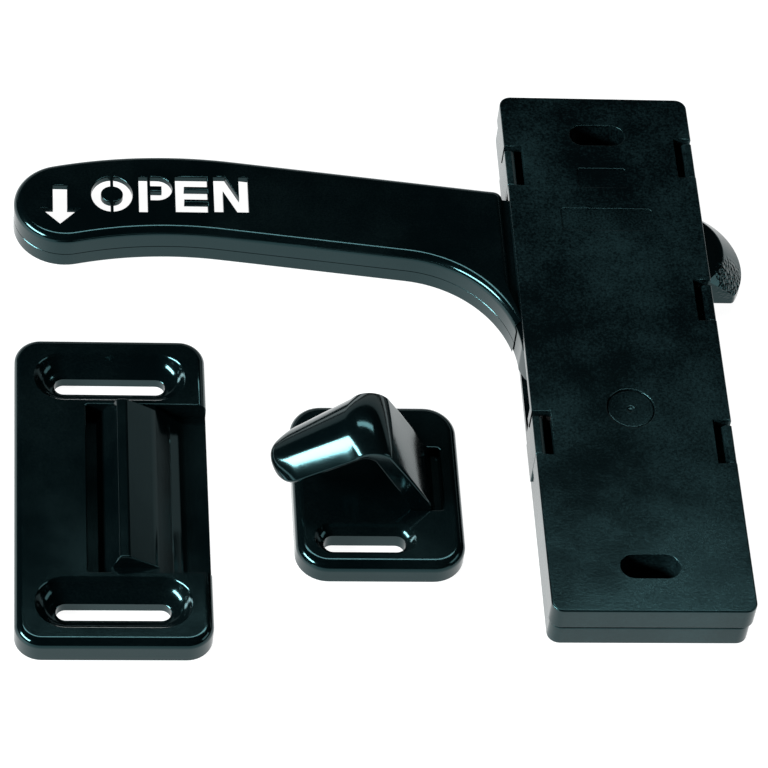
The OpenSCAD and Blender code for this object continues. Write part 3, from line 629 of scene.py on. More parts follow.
class LATCH_OT_front_cover(Operator):
    """Builds the moulded front cover with its screw wells, hook notches and pivot hole"""
    bl_idname = "latch.front_cover"
    bl_label = "Front Cover"

    lip: length("Lip", "Radius on the mouths of the wells", 0.15)

    def execute(self, context):
        size = sizes("case")
        half_w, half_l = inside_of_case(size)
        under = CASE_T - size["plate"]
        outline = rectangle(CASE_W, CASE_L, size["corner"], steps=10)
        piece = block("cover_moulding", outline, SPLIT + GAP / 2, CASE_T, foot=0.3, top=size["edge"], steps=4)
        cut(piece, block("room", rectangle(2 * half_w, 2 * half_l, 1), 0, under))
        run = size["well_run"] - size["well_width"]
        for y in (-size["screw_pitch"] / 2, size["screw_pitch"] / 2):
            wall = oblong(run, size["well_width"] + 3.2, (0, y))
            add(piece, block("well_wall", wall, WELL_SEAT + 0.1, under + 0.5))
            cut(piece, hollow("well", oblong(run, size["well_width"], (0, y)), 0, CASE_T, self.lip / MM, 4))
        for x, y in socket_corners():
            peg = disc(1.5, (x, y), 24)
            add(piece, block("peg", peg, size["floor"] + 1.5, under + 0.5, foot=0.3, steps=2))
        cut(piece, hollow("pivot_hole", disc(6, PIVOT, 64), under - 1, CASE_T, 0.25))
        for side, y in HOOKS:
            cut(piece, *self.notch(side, y, size, under))
        cut(piece, window(-1, LEVER_WINDOW, size["floor"], under, size),
            window(1, BOLT_WINDOW, size["floor"], under, size))
        for y, width, height in ((40.7, 24.0, 7.4), (55.0, 13.0, 6.6)):
            cut(piece, hollow("panel", rectangle(width, height, 1, (0, y)), CASE_T - 0.25, CASE_T, 0.12, 2))
        dress(piece, once(case_plastic), "case", "case_plastic", "front_cover")
        return {"FINISHED"}

    def notch(self, side, y, size, under):
        """Cutting blocks for one hook: the notch, the slit behind the barb and the groove for the arm."""
        long = size["hook_length"] + 0.4
        edge = CASE_W / 2
        arm = size["hook_thickness"] + 0.12
        deep = 4.7

        def strip(name, inner, outer, low, high, lip=0.0):
            shape = rectangle(outer - inner, long, at=(side * (inner + outer) / 2, y))
            return hollow(name, shape, low, high, lip, 2) if lip else block(name, shape, low, high)

        end_x = side * (edge - (deep + arm - 0.5) / 2)
        end = rectangle(deep - arm + 0.5, 1.2, at=(end_x, y + long / 2 - 0.6))
        return [strip("notch", edge - deep, edge + 2, CASE_T - HOOK_LEDGE, CASE_T, 0.25),
                strip("slit", edge - deep, edge - arm - 1.1, under - 1, CASE_T),
                strip("groove", edge - arm, edge + 2, 0, CASE_T + 1),
                block("end_gap", end, under - 0.9, CASE_T + 0.5)]


class LATCH_OT_pivot_cap(Operator):
    """Builds the round cap over the end of the pivot pin"""
    bl_idname = "latch.pivot_cap"
    bl_label = "Pivot Cap"

    plug: length("Plug", "Radius of the part that shows in the front plate", 5.88)

    def execute(self, context):
        face = CAP_HIGH.z
        flange = CAP_HIGH.x - PIVOT[0]
        plug, step = self.plug / MM, CAP_LOW.z + 1.05
        profile = [(flange, CAP_LOW.z), (flange, step), (plug, step + 0.01), (plug, face - 0.5)]
        profile += [(plug - i, face + z) for i, z in rounding(0.4, 4)]
        profile += [(1.1, face), (0.85, face - 0.12), (0.65, face - 0.5), (0.3, face - 0.55)]
        piece = turned("cap_moulding", profile, PIVOT, steps=64)
        cut(piece, block("pin_end", disc(2.52, PIVOT, 32), CAP_LOW.z - 1, 12.2))
        dress(piece, once(case_plastic), "case", "case_plastic", "pivot_cap")
        return {"FINISHED"}


def lever_outline(size, shoulder_radius=2.6):
    """The lever seen from above: bowed grip with a round end, straight neck, elbow and shoulder."""
    bow, reach = (-113.0, -64.0), 113.0          # centre and radius of the grip's middle line
    end, start = 103.7, 82.5                     # angles of the grip's end and of where it turns straight
    neck, shoulder = 48.0, -26.3
    half = size["grip_width"] / 2
    run = Vector((math.sin(math.radians(start)), -math.cos(math.radians(start))))
    out = Vector((math.cos(math.radians(start)), math.sin(math.radians(start))))
    upper = Vector(bow) + out * (reach + half)
    lower = Vector(bow) + out * (reach - half)
    elbow = lower + run * neck - out * size["elbow"]
    elbow_end = math.degrees(math.acos((shoulder - elbow.x) / size["elbow"]))
    tip = arc(bow, reach, end, end, 1)[0]
    points = [(shoulder, upper.y + (shoulder - upper.x) * run.y / run.x)]
    points += arc(bow, reach + half, start, end - 0.5, 24)
    points += arc(tip, half, end + 4, end + 176, 32)
    points += arc(bow, reach - half, end - 0.5, start, 24)
    points += arc(elbow, size["elbow"], start, elbow_end, 28)
    return soft(points, [shoulder_radius] + [0] * (len(points) - 1), 4)


def letter_shapes():
    """A down arrow and the plain word for open, as closed outlines that leave their bridges standing."""
    shapes = []

    def place(points, x, y):
        shapes.append([(x + u, y + v) for u, v in points])

    tall = 11.9
    place([(0, 0), (5, 5.2), (1.8, 5.2), (1.8, 12.9), (-1.8, 12.9), (-1.8, 5.2), (-5, 5.2)], -141, 37.9)
    wide, bridge = 5.3, 0.4
    for side in (-1, 1):
        first = math.degrees(math.acos(bridge / wide))
        inner = math.degrees(math.acos(bridge / 2.85))
        outer_arc = [(u * wide / 5.9, v) for u, v in arc((0, 0), 5.9, -first, first, 18)]
        inner_arc = [(u * 2.85 / 2.7, v) for u, v in arc((0, 0), 2.7, inner, -inner, 18)]
        half = outer_arc + inner_arc
        place(half if side > 0 else [(-u, v) for u, v in reversed(half)], -133 + wide, 42.2 + 5.9)
    place([(0, 0), (2.2, 0), (2.2, tall), (0, tall)], -120.8, 42.2)
    bowl = [(3.0, 4.1), (4.7, 4.1)] + arc((4.7, 8.0), 3.9, -82, 82, 14) + [
        (4.7, tall), (3.0, tall), (3.0, 8.9), (5.9, 8.9), (5.9, 7.1), (3.0, 7.1)]
    place(bowl, -120.8, 42.2)
    arm = 3.25
    middle = (tall - arm) / 2
    place([(0, 0), (8.2, 0), (8.2, arm), (2.2, arm), (2.2, middle), (8.2, middle), (8.2, middle + arm),
           (2.2, middle + arm), (2.2, tall - arm), (8.2, tall - arm), (8.2, tall), (0, tall)], -111.4, 42.4)
    stem, width = 2.3, 8.8
    slope = tall / (width - stem - 0.6)
    place([(0, 0), (stem, 0), (stem, tall - slope * stem), (width - stem - 0.6, 0), (width, 0), (width, tall),
           (width - stem, tall), (width - stem, slope * stem), (stem + 0.6, tall), (0, tall)], -101.5, 42.6)
    return shapes


class LATCH_OT_lever(Operator):
    """Builds the cranked lever: rolled skin, stencil cut-outs, web, hub and drive finger"""
    bl_idname = "latch.lever"
    bl_label = "Lever"

    seam_at: length("Seam height", "Height of the mould seam round the wall", 6.2)
    letter_lip: length("Letter lip", "Radius on the edges of the cut-outs", 0.28)
    relief: length("Finger relief", "Height of the relief under the grip's upper edge", 3.9)

    def execute(self, context):
        size = sizes("lever")
        low, high = cad("lever")
        bottom, top = low.z, high.z
        outline = lever_outline(size)
        seam, groove = self.seam_at / MM, size["seam"]
        rings = [ring(grown(outline, -i), bottom - z) for i, z in reversed(rounding(0.5, 3))]
        rings += [ring(outline, seam - groove), ring(grown(outline, -groove), seam),
                  ring(outline, seam + groove)]
        rings += [ring(grown(outline, -i), top + z) for i, z in rounding(size["edge"], 9)]
        piece = loft("lever_moulding", rings)
        inside = grown(lever_outline(size, 0), -size["wall"])
        ceiling = top - size["skin"]
        cut(piece, block("room", inside, bottom - 1, ceiling))
        cut(piece, self.finger_relief(bottom))
        for shape in letter_shapes():
            cut(piece, hollow("letter", shape, ceiling - 1, top, self.letter_lip / MM, 3))
        self.add_web(piece)
        dress(piece, once(gloss_plastic), "lever", "gloss_plastic", "lever")
        return {"FINISHED"}

    def finger_relief(self, bottom):
        """Cutting block under the grip's upper edge, so that the stencil shows clear through the lever."""
        rise = self.relief / MM
        left, right = -149, -83
        ends = [(left, bottom - rise), (left + 2 * rise, bottom + rise), (right - 2 * rise, bottom + rise),
                (right, bottom - rise)]
        ends = soft(ends, [0, 1.5, 1.5, 0], 6)
        return loft("finger_relief", [[(x, y, z) for x, z in ends] for y in (72, 54)])

    def add_web(self, piece):
        """The part of the lever that works inside the case."""
        x, y = PIVOT
        web = [(-27.9, 49.4)] + arc(ELBOW_CENTRE, 31.22, 24, 2, 8) + [
            (-22.6, -6.5), (-8.5, -24), (x + 6.5, y - 6.5), (9.3, -20), (17.6, 10), (17, 14.5), (8, 16),
            (-14.5, 16.5), (-17, 22), (-17.5, 48)]
        web = soft(web, [0] * 10 + [3, 2, 2, 1, 1.5, 1, 1, 2, 2, 1], 3)
        add(piece, block("web", web, 2.6, 11.4, foot=0.4, top=0.4, steps=2))
        add(piece, turned("hub", [(8.5, 2.7), (8.5, 11.2)], PIVOT))
        spring_room = turned("spring_room", [(9.25, -1), (9.25, 6.7)], PIVOT, [(6.3, 6.7), (6.3, -1)], 64)
        cut(piece, spring_room, turned("above_hub", [(9.2, 10), (9.2, CASE_T)], PIVOT, steps=60),
            turned("below_hub", [(9.35, -1), (9.35, 2.95)], PIVOT, steps=56),
            block("spring_leg", rectangle(2.8, 14, at=(x - 7.6, y + 7)), -1, 6.7))
        pin = DRIVE_PIN
        finger = rectangle(7, pin[1] - 8 + 3.5, 3.4, (pin[0], (8 + pin[1] + 3.5) / 2))
        add(piece, block("finger", finger, 2.64, 4.6, foot=0.2, top=0.2, steps=2))
        cut(piece, turned("bush_bore", [(4, 0), (4, CASE_T)], PIVOT))
        cut(piece, turned("pin_bore", [(2, 0), (2, CASE_T)], pin))


DRIVE_LOW, DRIVE_HIGH = cad("drive_pin")
DRIVE_PIN = ((DRIVE_LOW.x + DRIVE_HIGH.x) / 2, (DRIVE_LOW.y + DRIVE_HIGH.y) / 2)


class LATCH_OT_latch_bolt(Operator):
    """Builds the round-nosed bolt with its bevelled face, spring pockets and pin slot"""
    bl_idname = "latch.latch_bolt"
    bl_label = "Latch Bolt"

    nose: length("Nose", "Radius of the bolt's round nose", 15.0)
    flat: length("Flat", "Radius of the nose's flat top", 12.5)

    def execute(self, context):
        nose, flat = self.nose / MM, self.flat / MM
        low, high = BOLT_LOW, BOLT_HIGH
        centre = (high.x - nose, 31.0)
        first = math.degrees(math.asin((low.y - centre[1]) / nose))
        last = math.degrees(math.asin((high.y - centre[1]) / nose))
        outline = [(low.x, high.y), (low.x, low.y)] + arc(centre, nose, first, last, 40)
        outline = soft(outline, [0.6, 0.6, 1.2] + [0] * 39 + [1.2], 4)
        piece = block("bolt_moulding", outline, low.z, high.z, foot=0.35, top=0.35, steps=3)
        ramp = [(flat + high.z - low.z + 1, low.z - 1), (flat + 0.25, high.z - 0.25),
                (flat + 0.05, high.z - 0.08), (flat - 0.3, high.z), (flat - 0.3, high.z + 1)]
        keep = turned("ramp", ramp, (17.3, 33.0), steps=128)
        add(keep, block("shank", rectangle(40, 40, at=(-0.7, 34)), low.z - 1, high.z + 1))
        combine(piece, keep, "INTERSECT")
        for y in SPRING_ROWS:
            pocket = disc(3.2, (y, SPRING_Z), 32)
            cut(piece, loft("spring_pocket", [ring(pocket, x, "X") for x in (low.x - 1, 8)]))
        cut(piece, block("finger_room", rectangle(12.4, 17.5, at=(14.6, low.y + 7.75)), low.z - 1, 4.9))
        slot = oblong(2.6, 4.2)
        across = [(DRIVE_PIN[0] - v, DRIVE_PIN[1] + 0.8 + u) for u, v in slot]
        cut(piece, block("pin_slot", across, low.z - 1, low.z + 7.4))
        dress(piece, once(bolt_plastic), "bolt", "gloss_plastic", "latch_bolt")
        return {"FINISHED"}


def dished_slot(name, run, width, dish, at, surface):
    """A slot with round ends in a dish: pairs give the dish's width and depth below the surface."""
    rings = [ring(oblong(run, width, at, 16), -1)]
    rings += [ring(oblong(run, w, at, 16), surface - depth) for w, depth in dish]
    (inner, deep), (outer, _) = dish[-2:]
    past_surface = outer + (outer - inner) / deep
    rings[-1] = ring(oblong(run, past_surface, at, 16), surface + 1)
    return loft(name, rings)


class LATCH_OT_strike_plate(Operator):
    """Builds the strike plate with its dished slots, channel, catch ridge and ramp"""
    bl_idname = "latch.strike_plate"
    bl_label = "Strike Plate"

    recess: length("Recess", "Length of the recess between the slots", 51.0)
    ridge: length("Ridge", "Length of the catch ridge", 48.2)

    def execute(self, context):
        size = sizes("strike")
        wide = STRIKE_HIGH.x - STRIKE_LOW.x
        long = STRIKE_HIGH.y - STRIKE_LOW.y
        plate, crest = size["plate"], STRIKE_HIGH.z
        outline = rectangle(wide, long, size["corner"], (STRIKE_X, STRIKE_Y), 12)
        piece = block("strike_moulding", outline, 0, plate, foot=0.4, top=size["edge"], steps=9)
        recess = self.recess / MM
        room = rectangle(40, recess, 0.6, (STRIKE_X - 6.2 + 20, STRIKE_Y), 3)
        cut(piece, hollow("recess", room, 1.8, plate, 0.3))
        ridge = self.ridge_profile(wide, plate, crest)
        body = self.extrude_profile("ramp_low", ridge, recess / 2 + 0.1, 0)
        cut(body, block("above", rectangle(80, 80, at=(STRIKE_X, STRIKE_Y)), plate - 0.35, 20))
        add(piece, body, self.extrude_profile("ridge", ridge, self.ridge / MM / 2, 0.35))
        dish = [(size["slot_width"], 4.4), (5.6, 4.0), (7.6, 3.7), (9.6, 3.3), (11.4, 2.6), (12.8, 1.7),
                (13.8, 0.8), (14.4, 0.25), (size["slot_rim"], 0.0)]
        for side in (-1, 1):
            at = (STRIKE_X, STRIKE_Y + side * size["slot_pitch"] / 2)
            cut(piece, dished_slot("slot", size["slot_run"], size["slot_width"], dish, at, plate))
        core = [(-1, -1), (0.8, 5.6), (2.4, 8.2), (4, 8.2), (10, 4.6), (12.5, -1)]
        core = [(STRIKE_X + u, v) for u, v in soft(core, [0, 1, 0.6, 0.6, 2, 0], 3)]
        cut(piece, loft("core", [ring(core, STRIKE_Y + y, "Y") for y in (-22, 22)]))
        dress(piece, once(gloss_plastic), "strike", "gloss_plastic", "strike_plate")
        return {"FINISHED"}

    def ridge_profile(self, wide, plate, crest):
        """The ridge and its ramp in X and Z, from the channel to the plate's right edge."""
        corners = [(-3.4, 0.5), (wide / 2 - 0.05, 0.5), (wide / 2 - 0.05, 1.5), (17.4, 1.85), (14.6, 3.6),
                   (10.4, 7.2), (3.6, crest), (1.4, crest), (0.7, plate + 2.6), (-0.3, plate), (-3.4, 1.8)]
        return [(STRIKE_X + u, v) for u, v in soft(corners, [0, 0, 0, 4, 3, 9, 1.6, 0.5, 0.5, 3, 0], 6)]

    def extrude_profile(self, name, profile, half, edge):
        ends = rounding(edge, 3) if edge else [(0, 0)]
        rings = [ring(grown(profile, -i), STRIKE_Y - half - z, "Y") for i, z in reversed(ends)]
        rings += [ring(grown(profile, -i), STRIKE_Y + half + z, "Y") for i, z in ends]
        return loft(name, rings)


FOOT_X = -50.0                  # right face of the grip's foot
FOOT_Y = (-47.6, -28.8)         # front and back of the grip's foot
FLANGE_TOP = 2.3


class LATCH_OT_pull_base(Operator):
    """Builds the pull's base plate with its dished slot and the pocket for the grip's foot"""
    bl_idname = "latch.pull_base"
    bl_label = "Pull Base"

    def execute(self, context):
        size = sizes("pull")
        low, high = BASE_LOW, BASE_HIGH
        middle = ((low.x + high.x) / 2, (low.y + high.y) / 2)
        top = high.z
        outline = rectangle(high.x - low.x, high.y - low.y, size["corner"], middle, 12)
        piece = block("pull_base_moulding", outline, 0, top, foot=0.4, top=size["edge"], steps=9)
        dish = [(size["slot_width"], 2.6), (5.8, 2.3), (7.2, 1.8), (8.2, 1.1), (8.9, 0.4), (9.4, 0.0)]
        cut(piece, dished_slot("slot", size["slot_run"], size["slot_width"], dish, (-67.6, -56.4), top))
        deep = FOOT_Y[1] - FOOT_Y[0]
        mid_y = sum(FOOT_Y) / 2
        pocket = rectangle(8.0, deep + 0.2, 0.8, (FOOT_X - 1.8, mid_y), 3)
        cut(piece, hollow("pocket", pocket, top - 2.4, top, 0.5))
        cut(piece, block("foot_hole", rectangle(6.2, deep + 0.4, at=(FOOT_X - 2.9, mid_y)), -1, top + 1),
            block("flange_room", rectangle(9.6, deep + 3.6, at=(FOOT_X - 2.9, mid_y)), -1, FLANGE_TOP + 0.1))
        dress(piece, once(gloss_plastic), "pull", "gloss_plastic", "pull_base")
        return {"FINISHED"}


class LATCH_OT_pull_grip(Operator):
    """Builds the pull's grip: a leg that leans over, a round crown and a bar with full round edges"""
    bl_idname = "latch.pull_grip"
    bl_label = "Pull Grip"

    lean: FloatProperty(name="Lean", description="Tilt of the leg's outer face", default=math.radians(30),
                        subtype="ANGLE", unit="ROTATION")
    droop: FloatProperty(name="Droop", description="Direction of the bar's outer face",
                         default=math.radians(127), subtype="ANGLE", unit="ROTATION")
    swell: length("Swell", "Fall of the bar's outer face from its middle to its edges", 4.0)

    def execute(self, context):
        thick = sizes("pull")["bar"]
        piece = loft("pull_grip_moulding", self.stations(thick))
        deep = FOOT_Y[1] - FOOT_Y[0] + 3
        flange = rectangle(9, deep, 0.8, (FOOT_X - 2.9, sum(FOOT_Y) / 2))
        add(piece, block("flange", flange, GRIP_LOW.z, FLANGE_TOP, foot=0.2, top=0.2, steps=2))
        dress(piece, once(gloss_plastic), "pull", "gloss_plastic", "pull_grip")
        return {"FINISHED"}

    def stations(self, thick):
        """Cross-sections from the foot, up the leg, over the crown and along the bar to its tip."""
        crown_r, tip_r, tip_flat, tip_x = 8.0, 6.6, 1.6, -84.6
        leg_swell, bar_swell = 0.7, self.swell / MM
        base_top = BASE_HIGH.z
        lean, droop = self.lean, self.droop
        half = (FOOT_Y[1] - FOOT_Y[0]) / 2
        mid = thick / 2
        crown_z = GRIP_HIGH.z - crown_r
        crown = Vector((FOOT_X + ((base_top - crown_z) * math.sin(lean) - crown_r) / math.cos(lean), crown_z))
        leg_top = crown + Vector((math.cos(lean), math.sin(lean))) * (crown_r - mid)
        knee = Vector((FOOT_X - mid / math.cos(lean), base_top - 1.2))
        root = knee + Vector((-0.35, 1.4))
        rings = [self.section(knee.x, GRIP_LOW.z, 0.0, half, mid, 0.0)]
        rings += [self.section(knee.x - 0.35 * t * t, knee.y + 1.4 * t, lean * t, half, mid, 0.0)
                  for t in (0, 1 / 3, 2 / 3, 1)]
        for k in range(1, 9):
            spot = root.lerp(leg_top, k / 8)
            rings.append(self.section(spot.x, spot.y, lean, half, mid, leg_swell * (k / 8) ** 2))
        for k in range(1, 25):
            t = k / 24
            angle = lean + (droop - lean) * t
            spot = crown + Vector((math.cos(angle), math.sin(angle))) * (crown_r - mid)
            swell = leg_swell + (bar_swell - leg_swell) * t
            rings.append(self.section(spot.x, spot.y, angle, half, mid, swell))
        start = crown + Vector((math.cos(droop), math.sin(droop))) * (crown_r - mid)
        along = Vector((-math.sin(droop), math.cos(droop)))
        reach = (GRIP_LOW.x + mid - start.x) / along.x + mid
        tip_start = (tip_x - start.x) / along.x
        for k in range(1, 13):
            spot = start + along * tip_start * k / 12
            wide = half + (tip_r + tip_flat - half) * k / 12
            rings.append(self.section(spot.x, spot.y, droop, wide, mid, bar_swell))
        for k in range(1, 17):
            turn = math.pi / 2 * k / 16.5
            s = tip_start + (reach - tip_start) * math.sin(turn)
            past = max(0.0, s - reach + mid)
            thin = math.sqrt(max(0.05, mid * mid - past * past))
            spot = start + along * s
            wide = tip_flat + tip_r * math.cos(turn)
            rings.append(self.section(spot.x, spot.y, droop, wide, thin, bar_swell * thin / mid))
        return rings

    def section(self, x, z, angle, wide, mid, swell, across=13):
        """One cross-section: flat inside, falling away outside from its middle to its round edges."""
        middle = sum(FOOT_Y) / 2
        thin = 2 * mid - swell
        spread = [-1 + 2 * k / (across + 1) for k in range(1, across + 1)]
        edge = min(0.9, 0.46 * thin, wide / (across + 1))
        shape = [(wide, -mid), (wide, mid - swell)]
        shape += [(-wide * u, mid - swell * abs(u) ** 2.2) for u in spread]
        shape += [(-wide, mid - swell), (-wide, -mid)]
        radii = [edge, edge] + [0] * across + [edge, edge]
        return [(x + math.cos(angle) * v, middle + u, z + math.sin(angle) * v)
                for u, v in soft(shape, radii, 4)]


class LATCH_OT_turned_parts(Operator):
    """Builds the turned pieces: pivot pin, bush, thrust washers and drive pin"""
    bl_idname = "latch.turned_parts"
    bl_label = "Turned Parts"

    chamfer: length("Chamfer", "Chamfer on turned edges", 0.2)

    def execute(self, context):
        c = self.chamfer / MM
        low, high = cad("pivot_pin")
        head = high.x - PIVOT[0]
        profile = [(head - c, low.z), (head, low.z + c), (head, 1.3 - c), (head - c, 1.3), (2.5, 1.3),
                   (2.5, high.z - 0.5), (2.0, high.z)]
        pin = turned("pivot_pin_turned", profile, PIVOT)
        dress(pin, once(zinc_plate), "case", "plated_steel", "pivot_pin")
        low, high = DRIVE_LOW, DRIVE_HIGH
        r = (high.x - low.x) / 2
        profile = [(r - c, low.z), (r, low.z + c), (r, high.z - c), (r - c, high.z)]
        pin = turned("drive_pin_turned", profile, DRIVE_PIN)
        dress(pin, once(zinc_plate), "lever", "plated_steel", "drive_pin")
        for node, inner, material, body, slot in (
                ("pivot_bush", 2.55, natural_acetal, "lever", "acetal"),
                ("rear_thrust_washer", 2.6, zinc_plate, "case", "plated_steel"),
                ("front_thrust_washer", 2.6, zinc_plate, "case", "plated_steel")):
            piece = self.tube(node + "_turned", node, PIVOT, inner, min(c, 0.12))
            dress(piece, once(material), body, slot, node)
        return {"FINISHED"}

    def tube(self, name, node, at, inner, c):
        return tube(name, node, at, inner, c)


def tube(name, node, at, inner, chamfer):
    """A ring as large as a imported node, with chamfered edges and the given bore."""
    low, high = cad(node)
    outer = high.x - at[0]
    outside = [(outer - chamfer, low.z), (outer, low.z + chamfer), (outer, high.z - chamfer),
               (outer - chamfer, high.z)]
    inside = [(inner + chamfer, high.z), (inner, high.z - chamfer), (inner, low.z + chamfer),
              (inner + chamfer, low.z)]
    return turned(name, outside, at, inside)


def bent_wire(name, path, radius, sides=10):
    """Round wire along a path, with each ring square to it."""
    rings = []
    for i, point in enumerate(path):
        ahead = (Vector(path[min(i + 1, len(path) - 1)]) - Vector(path[max(i - 1, 0)])).normalized()
        steady = Vector((0, 0, 1)) if abs(ahead.z) < 0.9 else Vector((1, 0, 0))
        side = ahead.cross(steady).normalized()
        up = side.cross(ahead)
        turns = [2 * math.pi * k / sides for k in range(sides)]
        rings.append([Vector(point) + radius * (math.cos(t) * side + math.sin(t) * up) for t in turns])
    return loft(name, rings)


class LATCH_OT_springs(Operator):
    """Winds the lever's torsion spring and the two bolt springs"""
    bl_idname = "latch.springs"
    bl_label = "Springs"

    def execute(self, context):
        x, y = PIVOT
        coil_r, turns, steps, base, rise = 7.6, 2.75, 132, 3.5, 2.6
        coil = []
        for i in range(steps + 1):
            a = math.radians(-90 + turns * 360 * i / steps)
            coil.append((x + coil_r * math.cos(a), y + coil_r * math.sin(a), base + rise * i / steps))
        end = coil[-1]
        head = [(x + 13.5, y - coil_r - 0.04, base), (x + 3, y - coil_r - 0.02, base)]
        tail = [(end[0] - 0.02, end[1] + 3, end[2]), (end[0] - 0.04, end[1] + 12.5, end[2])]
        piece = bent_wire("lever_spring_wound", head + coil + tail, 0.45)
        dress(piece, once(spring_wire), "case", "spring_steel", "lever_spring", crease=60)
        for node, row in zip(("bolt_spring_lower", "bolt_spring_upper"), SPRING_ROWS):
            self.compression_spring(node, row)
        return {"FINISHED"}

    def compression_spring(self, node, row):
        """A compression spring along X, with its end turns closed up."""
        low, high = cad(node)
        mean, wire, turns, steps = 2.45, 0.35, 9, 24
        first, last = low.x + wire, high.x - wire
        path = []
        for i in range(turns * steps + 1):
            t = i / (turns * steps)
            a = 2 * math.pi * turns * t
            path.append((first + (last - first) * even_pitch(t), row + mean * math.cos(a),
                         SPRING_Z + mean * math.sin(a)))
        piece = bent_wire(node + "_wound", path, wire)
        dress(piece, once(spring_wire), "case", "spring_steel", node, crease=60)
        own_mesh(piece)


def even_pitch(t, closed=0.12, share=0.3):
    """How far along a spring its wire has come: slow in the closed end turns, even between them."""
    slow = closed * share
    if t < closed:
        return t * share
    if t > 1 - closed:
        return 1 - (1 - t) * share
    return slow + (t - closed) * (1 - 2 * slow) / (1 - 2 * closed)


class LATCH_OT_seat_and_stops(Operator):
    """Builds the springs' seat strip and the rubber sleeves on the stop posts"""
    bl_idname = "latch.seat_and_stops"
    bl_label = "Seat Strip and Stops"

    def execute(self, context):
        low, high = cad("spring_seat_strip")
        flat = rectangle(high.y - low.y, high.z - low.z, 1.0, ((low.y + high.y) / 2, (low.z + high.z) / 2))
        piece = block("seat_strip_stamped", flat, low.x, high.x, foot=0.08, top=0.08, axis="X", steps=2)
        for y in SPRING_ROWS:
            hole = disc(1.7, (y, SPRING_Z), 24)
            cut(piece, loft("peg_hole", [ring(hole, x, "X") for x in (low.x - 1, high.x + 1)]))
        dress(piece, once(spring_wire), "case", "spring_steel", "spring_seat_strip")
        for node in ("rest_stop_sleeve", "travel_stop_sleeve"):
            low, high = cad(node)
            at = ((low.x + high.x) / 2, (low.y + high.y) / 2)
            dress(tube(node + "_cut", node, at, 1.52, 0.15), once(stop_rubber), "case", "stop_rubber", node)
        return {"FINISHED"}


# ---------------------------------------------------------------- stage

AIM = Vector((-59.4, -3.4, 0.0)) * MM           # middle of the set as it lies on the table
CAMERA_SPOT = Vector((-164.4, -609.7, 759.9)) * MM


def softbox(name, azimuth, elevation, distance, width, height, radiance):
    """A soft panel of light aimed at the set; its power follows from how bright its face is."""
    a, e = math.radians(azimuth), math.radians(elevation)
    way = Vector((math.cos(a) * math.cos(e), math.sin(a) * math.cos(e), math.sin(e)))
    light = bpy.data.lights.new(name, "AREA")
    light.shape = "RECTANGLE"
    light.size, light.size_y = width, height
    light.energy = radiance * math.pi * width * height
    panel = bpy.data.objects.new(name, light)
    panel.location = AIM + way * distance
    panel.rotation_mode = "QUATERNION"
    panel.rotation_quaternion = way.to_track_quat("Z", "Y")
    bpy.context.scene.collection.objects.link(panel)


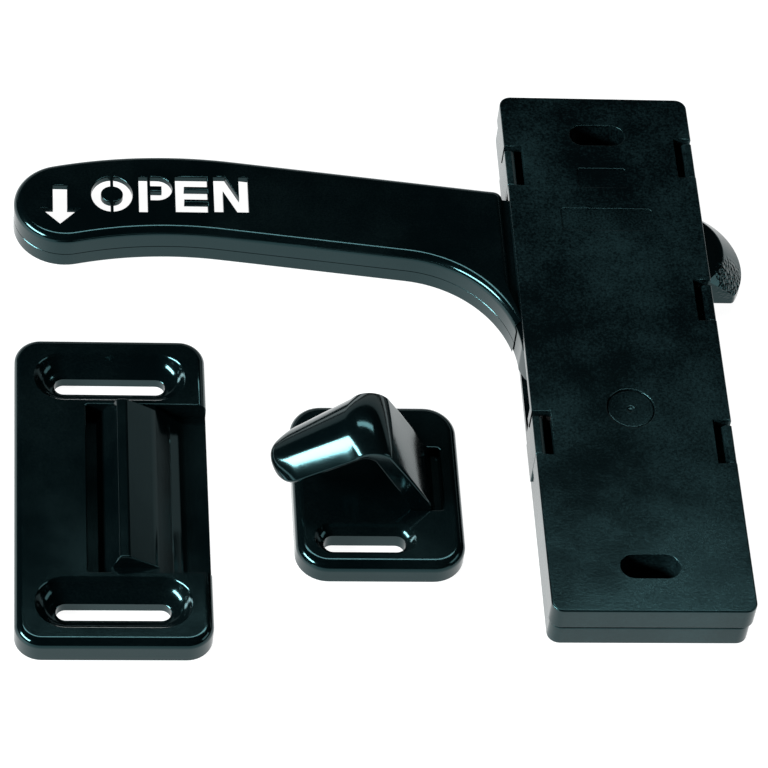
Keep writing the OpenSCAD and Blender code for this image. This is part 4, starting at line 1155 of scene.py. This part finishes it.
class LATCH_OT_stage(Operator):
    """Lays the pale table and sets up the softboxes and the camera"""
    bl_idname = "latch.stage"
    bl_label = "Stage"

    lens: FloatProperty(name="Lens", description="Focal length on a 36 mm wide sensor, in millimetres",
                        default=181.4)
    roll: FloatProperty(name="Roll", description="Turn of the camera about its line of sight",
                        default=math.radians(8.28), subtype="ANGLE", unit="ROTATION")

    def execute(self, context):
        scene = context.scene
        table = block("table", rectangle(6000, 6000, 200), -12, -0.05)
        table.data.materials.append(once(lit_table))
        # Painted shade: a black sheet just under the case, in place of the shadow the case would cast on the
        # glowing table
        case_shadow_sheet = block("case_shadow_sheet", rectangle(CASE_W - 4, CASE_L - 4), -0.04, -0.02)
        case_shadow_sheet.data.materials.append(once(painted_shade_sheet))
        softbox("left_softbox", 203, 27, 1.3, 0.9, 0.26, 70)
        softbox("back_softbox", 86, 70, 0.62, 0.5, 0.1, 10)
        softbox("right_softbox", 345, 24, 1.4, 0.8, 0.4, 2.5)
        softbox("far_wall", 80, 17, 2.0, 6.0, 0.8, 0.5)
        world = bpy.data.worlds.new("studio")
        scene.world = world
        world.use_nodes = True
        sky = world.node_tree.nodes["Background"]
        sky.inputs["Color"].default_value = linear("#8FA3A6")
        sky.inputs["Strength"].default_value = 0.03
        scene.view_settings.view_transform = "Standard"
        data = bpy.data.cameras.new("camera")
        data.sensor_width = 36.0
        data.lens = self.lens
        data.clip_start, data.clip_end = 0.05, 50.0
        camera = bpy.data.objects.new("camera", data)
        camera.location = CAMERA_SPOT
        camera.rotation_mode = "QUATERNION"
        level = (AIM - CAMERA_SPOT).to_track_quat("-Z", "Y")
        camera.rotation_quaternion = level @ Matrix.Rotation(self.roll, 3, "Z").to_quaternion()
        scene.collection.objects.link(camera)
        scene.camera = camera
        return {"FINISHED"}


# ---------------------------------------------------------------- panel and registration

BUILD_STEPS = (LATCH_OT_rear_housing, LATCH_OT_front_cover, LATCH_OT_pivot_cap, LATCH_OT_lever,
               LATCH_OT_latch_bolt, LATCH_OT_strike_plate, LATCH_OT_pull_base, LATCH_OT_pull_grip,
               LATCH_OT_turned_parts, LATCH_OT_springs, LATCH_OT_seat_and_stops, LATCH_OT_stage)
SIZE_GROUPS = {"case": LatchCaseSizes, "lever": LatchLeverSizes, "strike": LatchStrikeSizes,
               "pull": LatchPullSizes, "colours": LatchColours}


class LATCH_PT_build(Panel):
    """Lists the sizes, colours and building steps of the latch"""
    bl_idname = "LATCH_PT_build"
    bl_label = "Screen Door Latch"
    bl_space_type = "VIEW_3D"
    bl_region_type = "UI"
    bl_category = "Latch"

    def draw(self, context):
        for key, group in SIZE_GROUPS.items():
            box = self.layout.box()
            box.label(text=key.capitalize())
            for field in group.__annotations__:
                box.prop(getattr(context.scene, "latch_" + key), field)
        for step in BUILD_STEPS:
            self.layout.operator(step.bl_idname)


def register():
    for group in (*SIZE_GROUPS.values(), *BUILD_STEPS, LATCH_PT_build):
        bpy.utils.register_class(group)
    for key, group in SIZE_GROUPS.items():
        setattr(bpy.types.Scene, "latch_" + key, PointerProperty(type=group))


def unregister():
    for key in SIZE_GROUPS:
        delattr(bpy.types.Scene, "latch_" + key)
    for group in reversed((*SIZE_GROUPS.values(), *BUILD_STEPS, LATCH_PT_build)):
        bpy.utils.unregister_class(group)


def main():
    register()
    for step in BUILD_STEPS:
        family, name = step.bl_idname.split(".")
        getattr(getattr(bpy.ops, family), name)()


if __name__ == "__main__":
    main()
